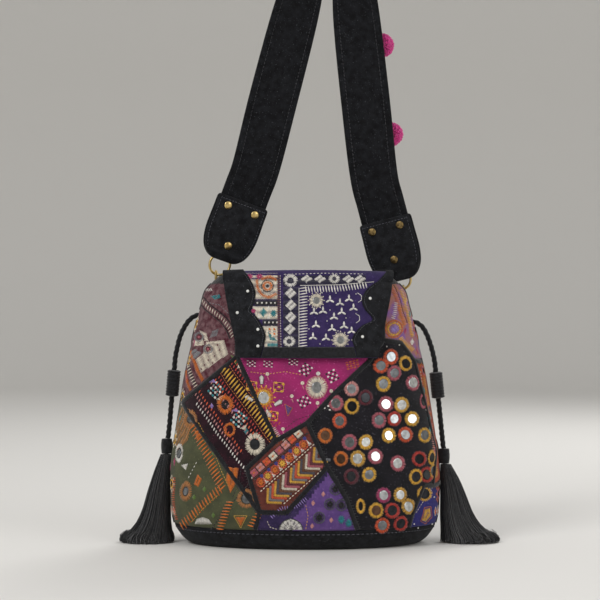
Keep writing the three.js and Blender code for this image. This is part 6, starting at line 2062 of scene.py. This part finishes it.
ochre_work = Needlework(back_ground)
zigzag(ochre_work, (-110, 104), (-20, 134), (4, -9), 15, 2.0, "maroon")
zigzag(ochre_work, (-116, 36), (12, 36), (0, 10), 19, 2.2, "teal")
OCHRE_LADDER = [("ladder", [(-118, 27.5), (-50, 27.5), (22, 27.5)], 2.4, "maroon", 2.2, 1.1)]
ochre_work.follow(OCHRE_LADDER)
OCHRE_FLOWERS = [(-92, 76), (-50, 84), (-10, 100), (-30, 62), (8, 66)]
for x, z in OCHRE_FLOWERS:
    flower(ochre_work, (x, z), 12, "magenta", "violet", 8)
OCHRE_SPECKS = [(-112, 62), (-71, 62), (-72, 98), (-30, 105), (-10, 76), (14, 88), (-52, 60)]
for x, z in OCHRE_SPECKS:
    ochre_work.diamond((x, z), 3.0, 4.2, "coral", 45)
    ochre_work.outline([(x - 4, z), (x, z - 5.4), (x + 4, z), (x, z + 5.4)], "black", 0.8)
ochre_work.finish("embroidery_back_ochre", "bag", "ochre_cloth")

violet_work = Needlework(back_ground)


def on_violet(x, z):
    """Clear of the seams to the ochre and maroon pieces and of the base."""
    return z > 30 and z < 146 + (x + 18) * 0.1 and (x + 18) * 150 - (150 - z) * 52 > 1700


scattered(violet_work, (0, 30), (104, 150), 26, 17.5, ("yellow", "rose", "coral", "gold", "red", "pink"),
          on_violet)
VIOLET_LINE = [("running", [(-6, 146), (50, 152), (108, 158)], "cream", 2.4, 1.6)]
violet_work.follow(VIOLET_LINE)
violet_work.finish("embroidery_back_violet", "bag", "purple_cloth")

# Embroidery of the sides
# The front's pieces reach round to the side lines. Places are millimetres from the side line and heights.
SIDE_MM_PER_DEGREE = 1.72


def side_ground(drawing):
    """The body's cloth near a side line: across in mm is turned to degrees."""
    return cloth_point(np.radians(drawing[..., 0] / SIDE_MM_PER_DEGREE), drawing[..., 1])


SIDE_FLOWERS = [(-18, 212, 9), (17, 218, 8), (-22, 172, 9), (22, 182, 8), (22, 146, 9), (-23, 134, 8),
                (20, 104, 9), (-22, 92, 9), (21, 60, 9), (-18, 50, 9)]
SIDE_SPECKS = [(-28, 192), (29, 200), (30, 164), (-30, 153), (30, 125), (-31, 113), (29, 82), (-30, 70),
               (9, 76)]
for side_name, sign in (("left", -1), ("right", 1)):
    side_work = Needlework(side_ground)
    middle = sign * 90 * SIDE_MM_PER_DEGREE
    for x, z, radius in SIDE_FLOWERS:
        thread, other = ("yellow", "cream") if x > 0 else ("rose", "orange")
        flower(side_work, (middle + x, z), radius, thread, other, 8)
    diamond_row(side_work, (middle - 26, 33), (middle + 26, 33), 6, 3.8, "coral", "cream")
    for x, z in SIDE_SPECKS:
        side_work.diamond((middle + x, z), 2.6, 4.0, "teal" if z % 2 else "magenta", 45)
    side_work.finish(f"embroidery_side_{side_name}", "bag", "black_cotton")

# Lashes
# The seams are couched down with short black cross stitches, which stand out from the tape like lashes.
# The two side lines, where the sliders run, have none.
MM_PER_DEGREE = 1.9


def seam_ground(drawing):
    """The body's cloth, drawn on by degrees round the body in mm and height."""
    return cloth_point(np.radians(drawing[..., 0] / MM_PER_DEGREE), drawing[..., 1])


lashes = Needlework(seam_ground)
for line in seam_lines:
    if abs(line[0, 0]) != 90:
        lashes.ladder(line * [MM_PER_DEGREE, 1], 3.6, "black", 2.7, 0.9, 0.3, 0.5)
lashes.finish("seam_lashes", "bag", "black_cotton")

# Embroidery out of sight at rest
# The magenta piece and the flap's level top carry more work, seen when the flap is lifted or from above:
# drops and small diamonds below, a border and three mirror flowers on top.
hidden = Needlework(round_ground)
HIDDEN_DROPS = [(-14, 238), (2, 214), (16, 236), (-20, 212), (22, 210)]
for x, z in HIDDEN_DROPS:
    hidden.ring((x, z), (1.4, 3.2), (3.0, 6.4), "yellow")
    hidden.ring((x, z), 0.2, (1.3, 3.0), "cream")
for share in np.linspace(-26, 28, 10):
    hidden.diamond((share, 250), 1.3, 3.0, "white", 45)
    hidden.diamond((share, 193), 1.2, 2.6, "yellow", 45)
hidden.finish("embroidery_under_flap", "bag", "magenta_cloth")


LEVEL_LENGTH = 48


def top_ground(drawing):
    """The flap's level top: distance across, and distance forwards from the hinge line."""
    return flap_surface(drawing[..., 0], drawing[..., 1] * FOLD_START / LEVEL_LENGTH)


top_work = Needlework(top_ground)
for x in np.linspace(-46, 60, 12):
    top_work.diamond((x, 42), 3.4, 3.2, "white", 45)
TOP_LADDER = [("ladder", [(-50, 34), (64, 34)], 2.2, "white", 2.0, 1.0)]
top_work.follow(TOP_LADDER)
TOP_MIRRORS_ACROSS = [-30, 4, 40]
for x in TOP_MIRRORS_ACROSS:
    top_work.mirror((x, 19), 3.6, 3.2, "cream", "shiny")
    for turn in np.linspace(0, 2 * np.pi, 9)[:-1]:
        spoke = np.array([math.cos(turn), math.sin(turn)])
        top_work.sew(np.array([x, 19]) + spoke * 8, np.array([x, 19]) + spoke * 11.5, "white", 2.0, 0.7)
top_work.finish("embroidery_flap_top", "flap", "purple_cloth")

# Stitching of the base
# Waxed grey thread closes the suede base to the body just under its upper edge, in one row that goes all
# the way round.
BASE_SEAM_HEIGHT, BASE_SEAM_STEPS = 16.2, 200


def base_ground(drawing):
    """The base's upright wall, drawn on by degrees from the front in mm and height."""
    return oval(np.radians(drawing[..., 0] / MM_PER_DEGREE), drawing[..., 1], -0.2)


base_seam = Needlework(base_ground)
half_round = 180 * MM_PER_DEGREE
base_seam_line = [(x, BASE_SEAM_HEIGHT) for x in np.linspace(-half_round, half_round, BASE_SEAM_STEPS)]
base_seam.running(base_seam_line, "slate", 2.6, 1.6, 0.8, 0.5)
base_seam.finish("base_stitching", "bag", "black_suede")

# Cords
# Each free cord is declared with its length and the path it lies along.
bpy.context.view_layer.update()

for node, (piece, length, line) in free_cords.items():
    place = line[0] * MM
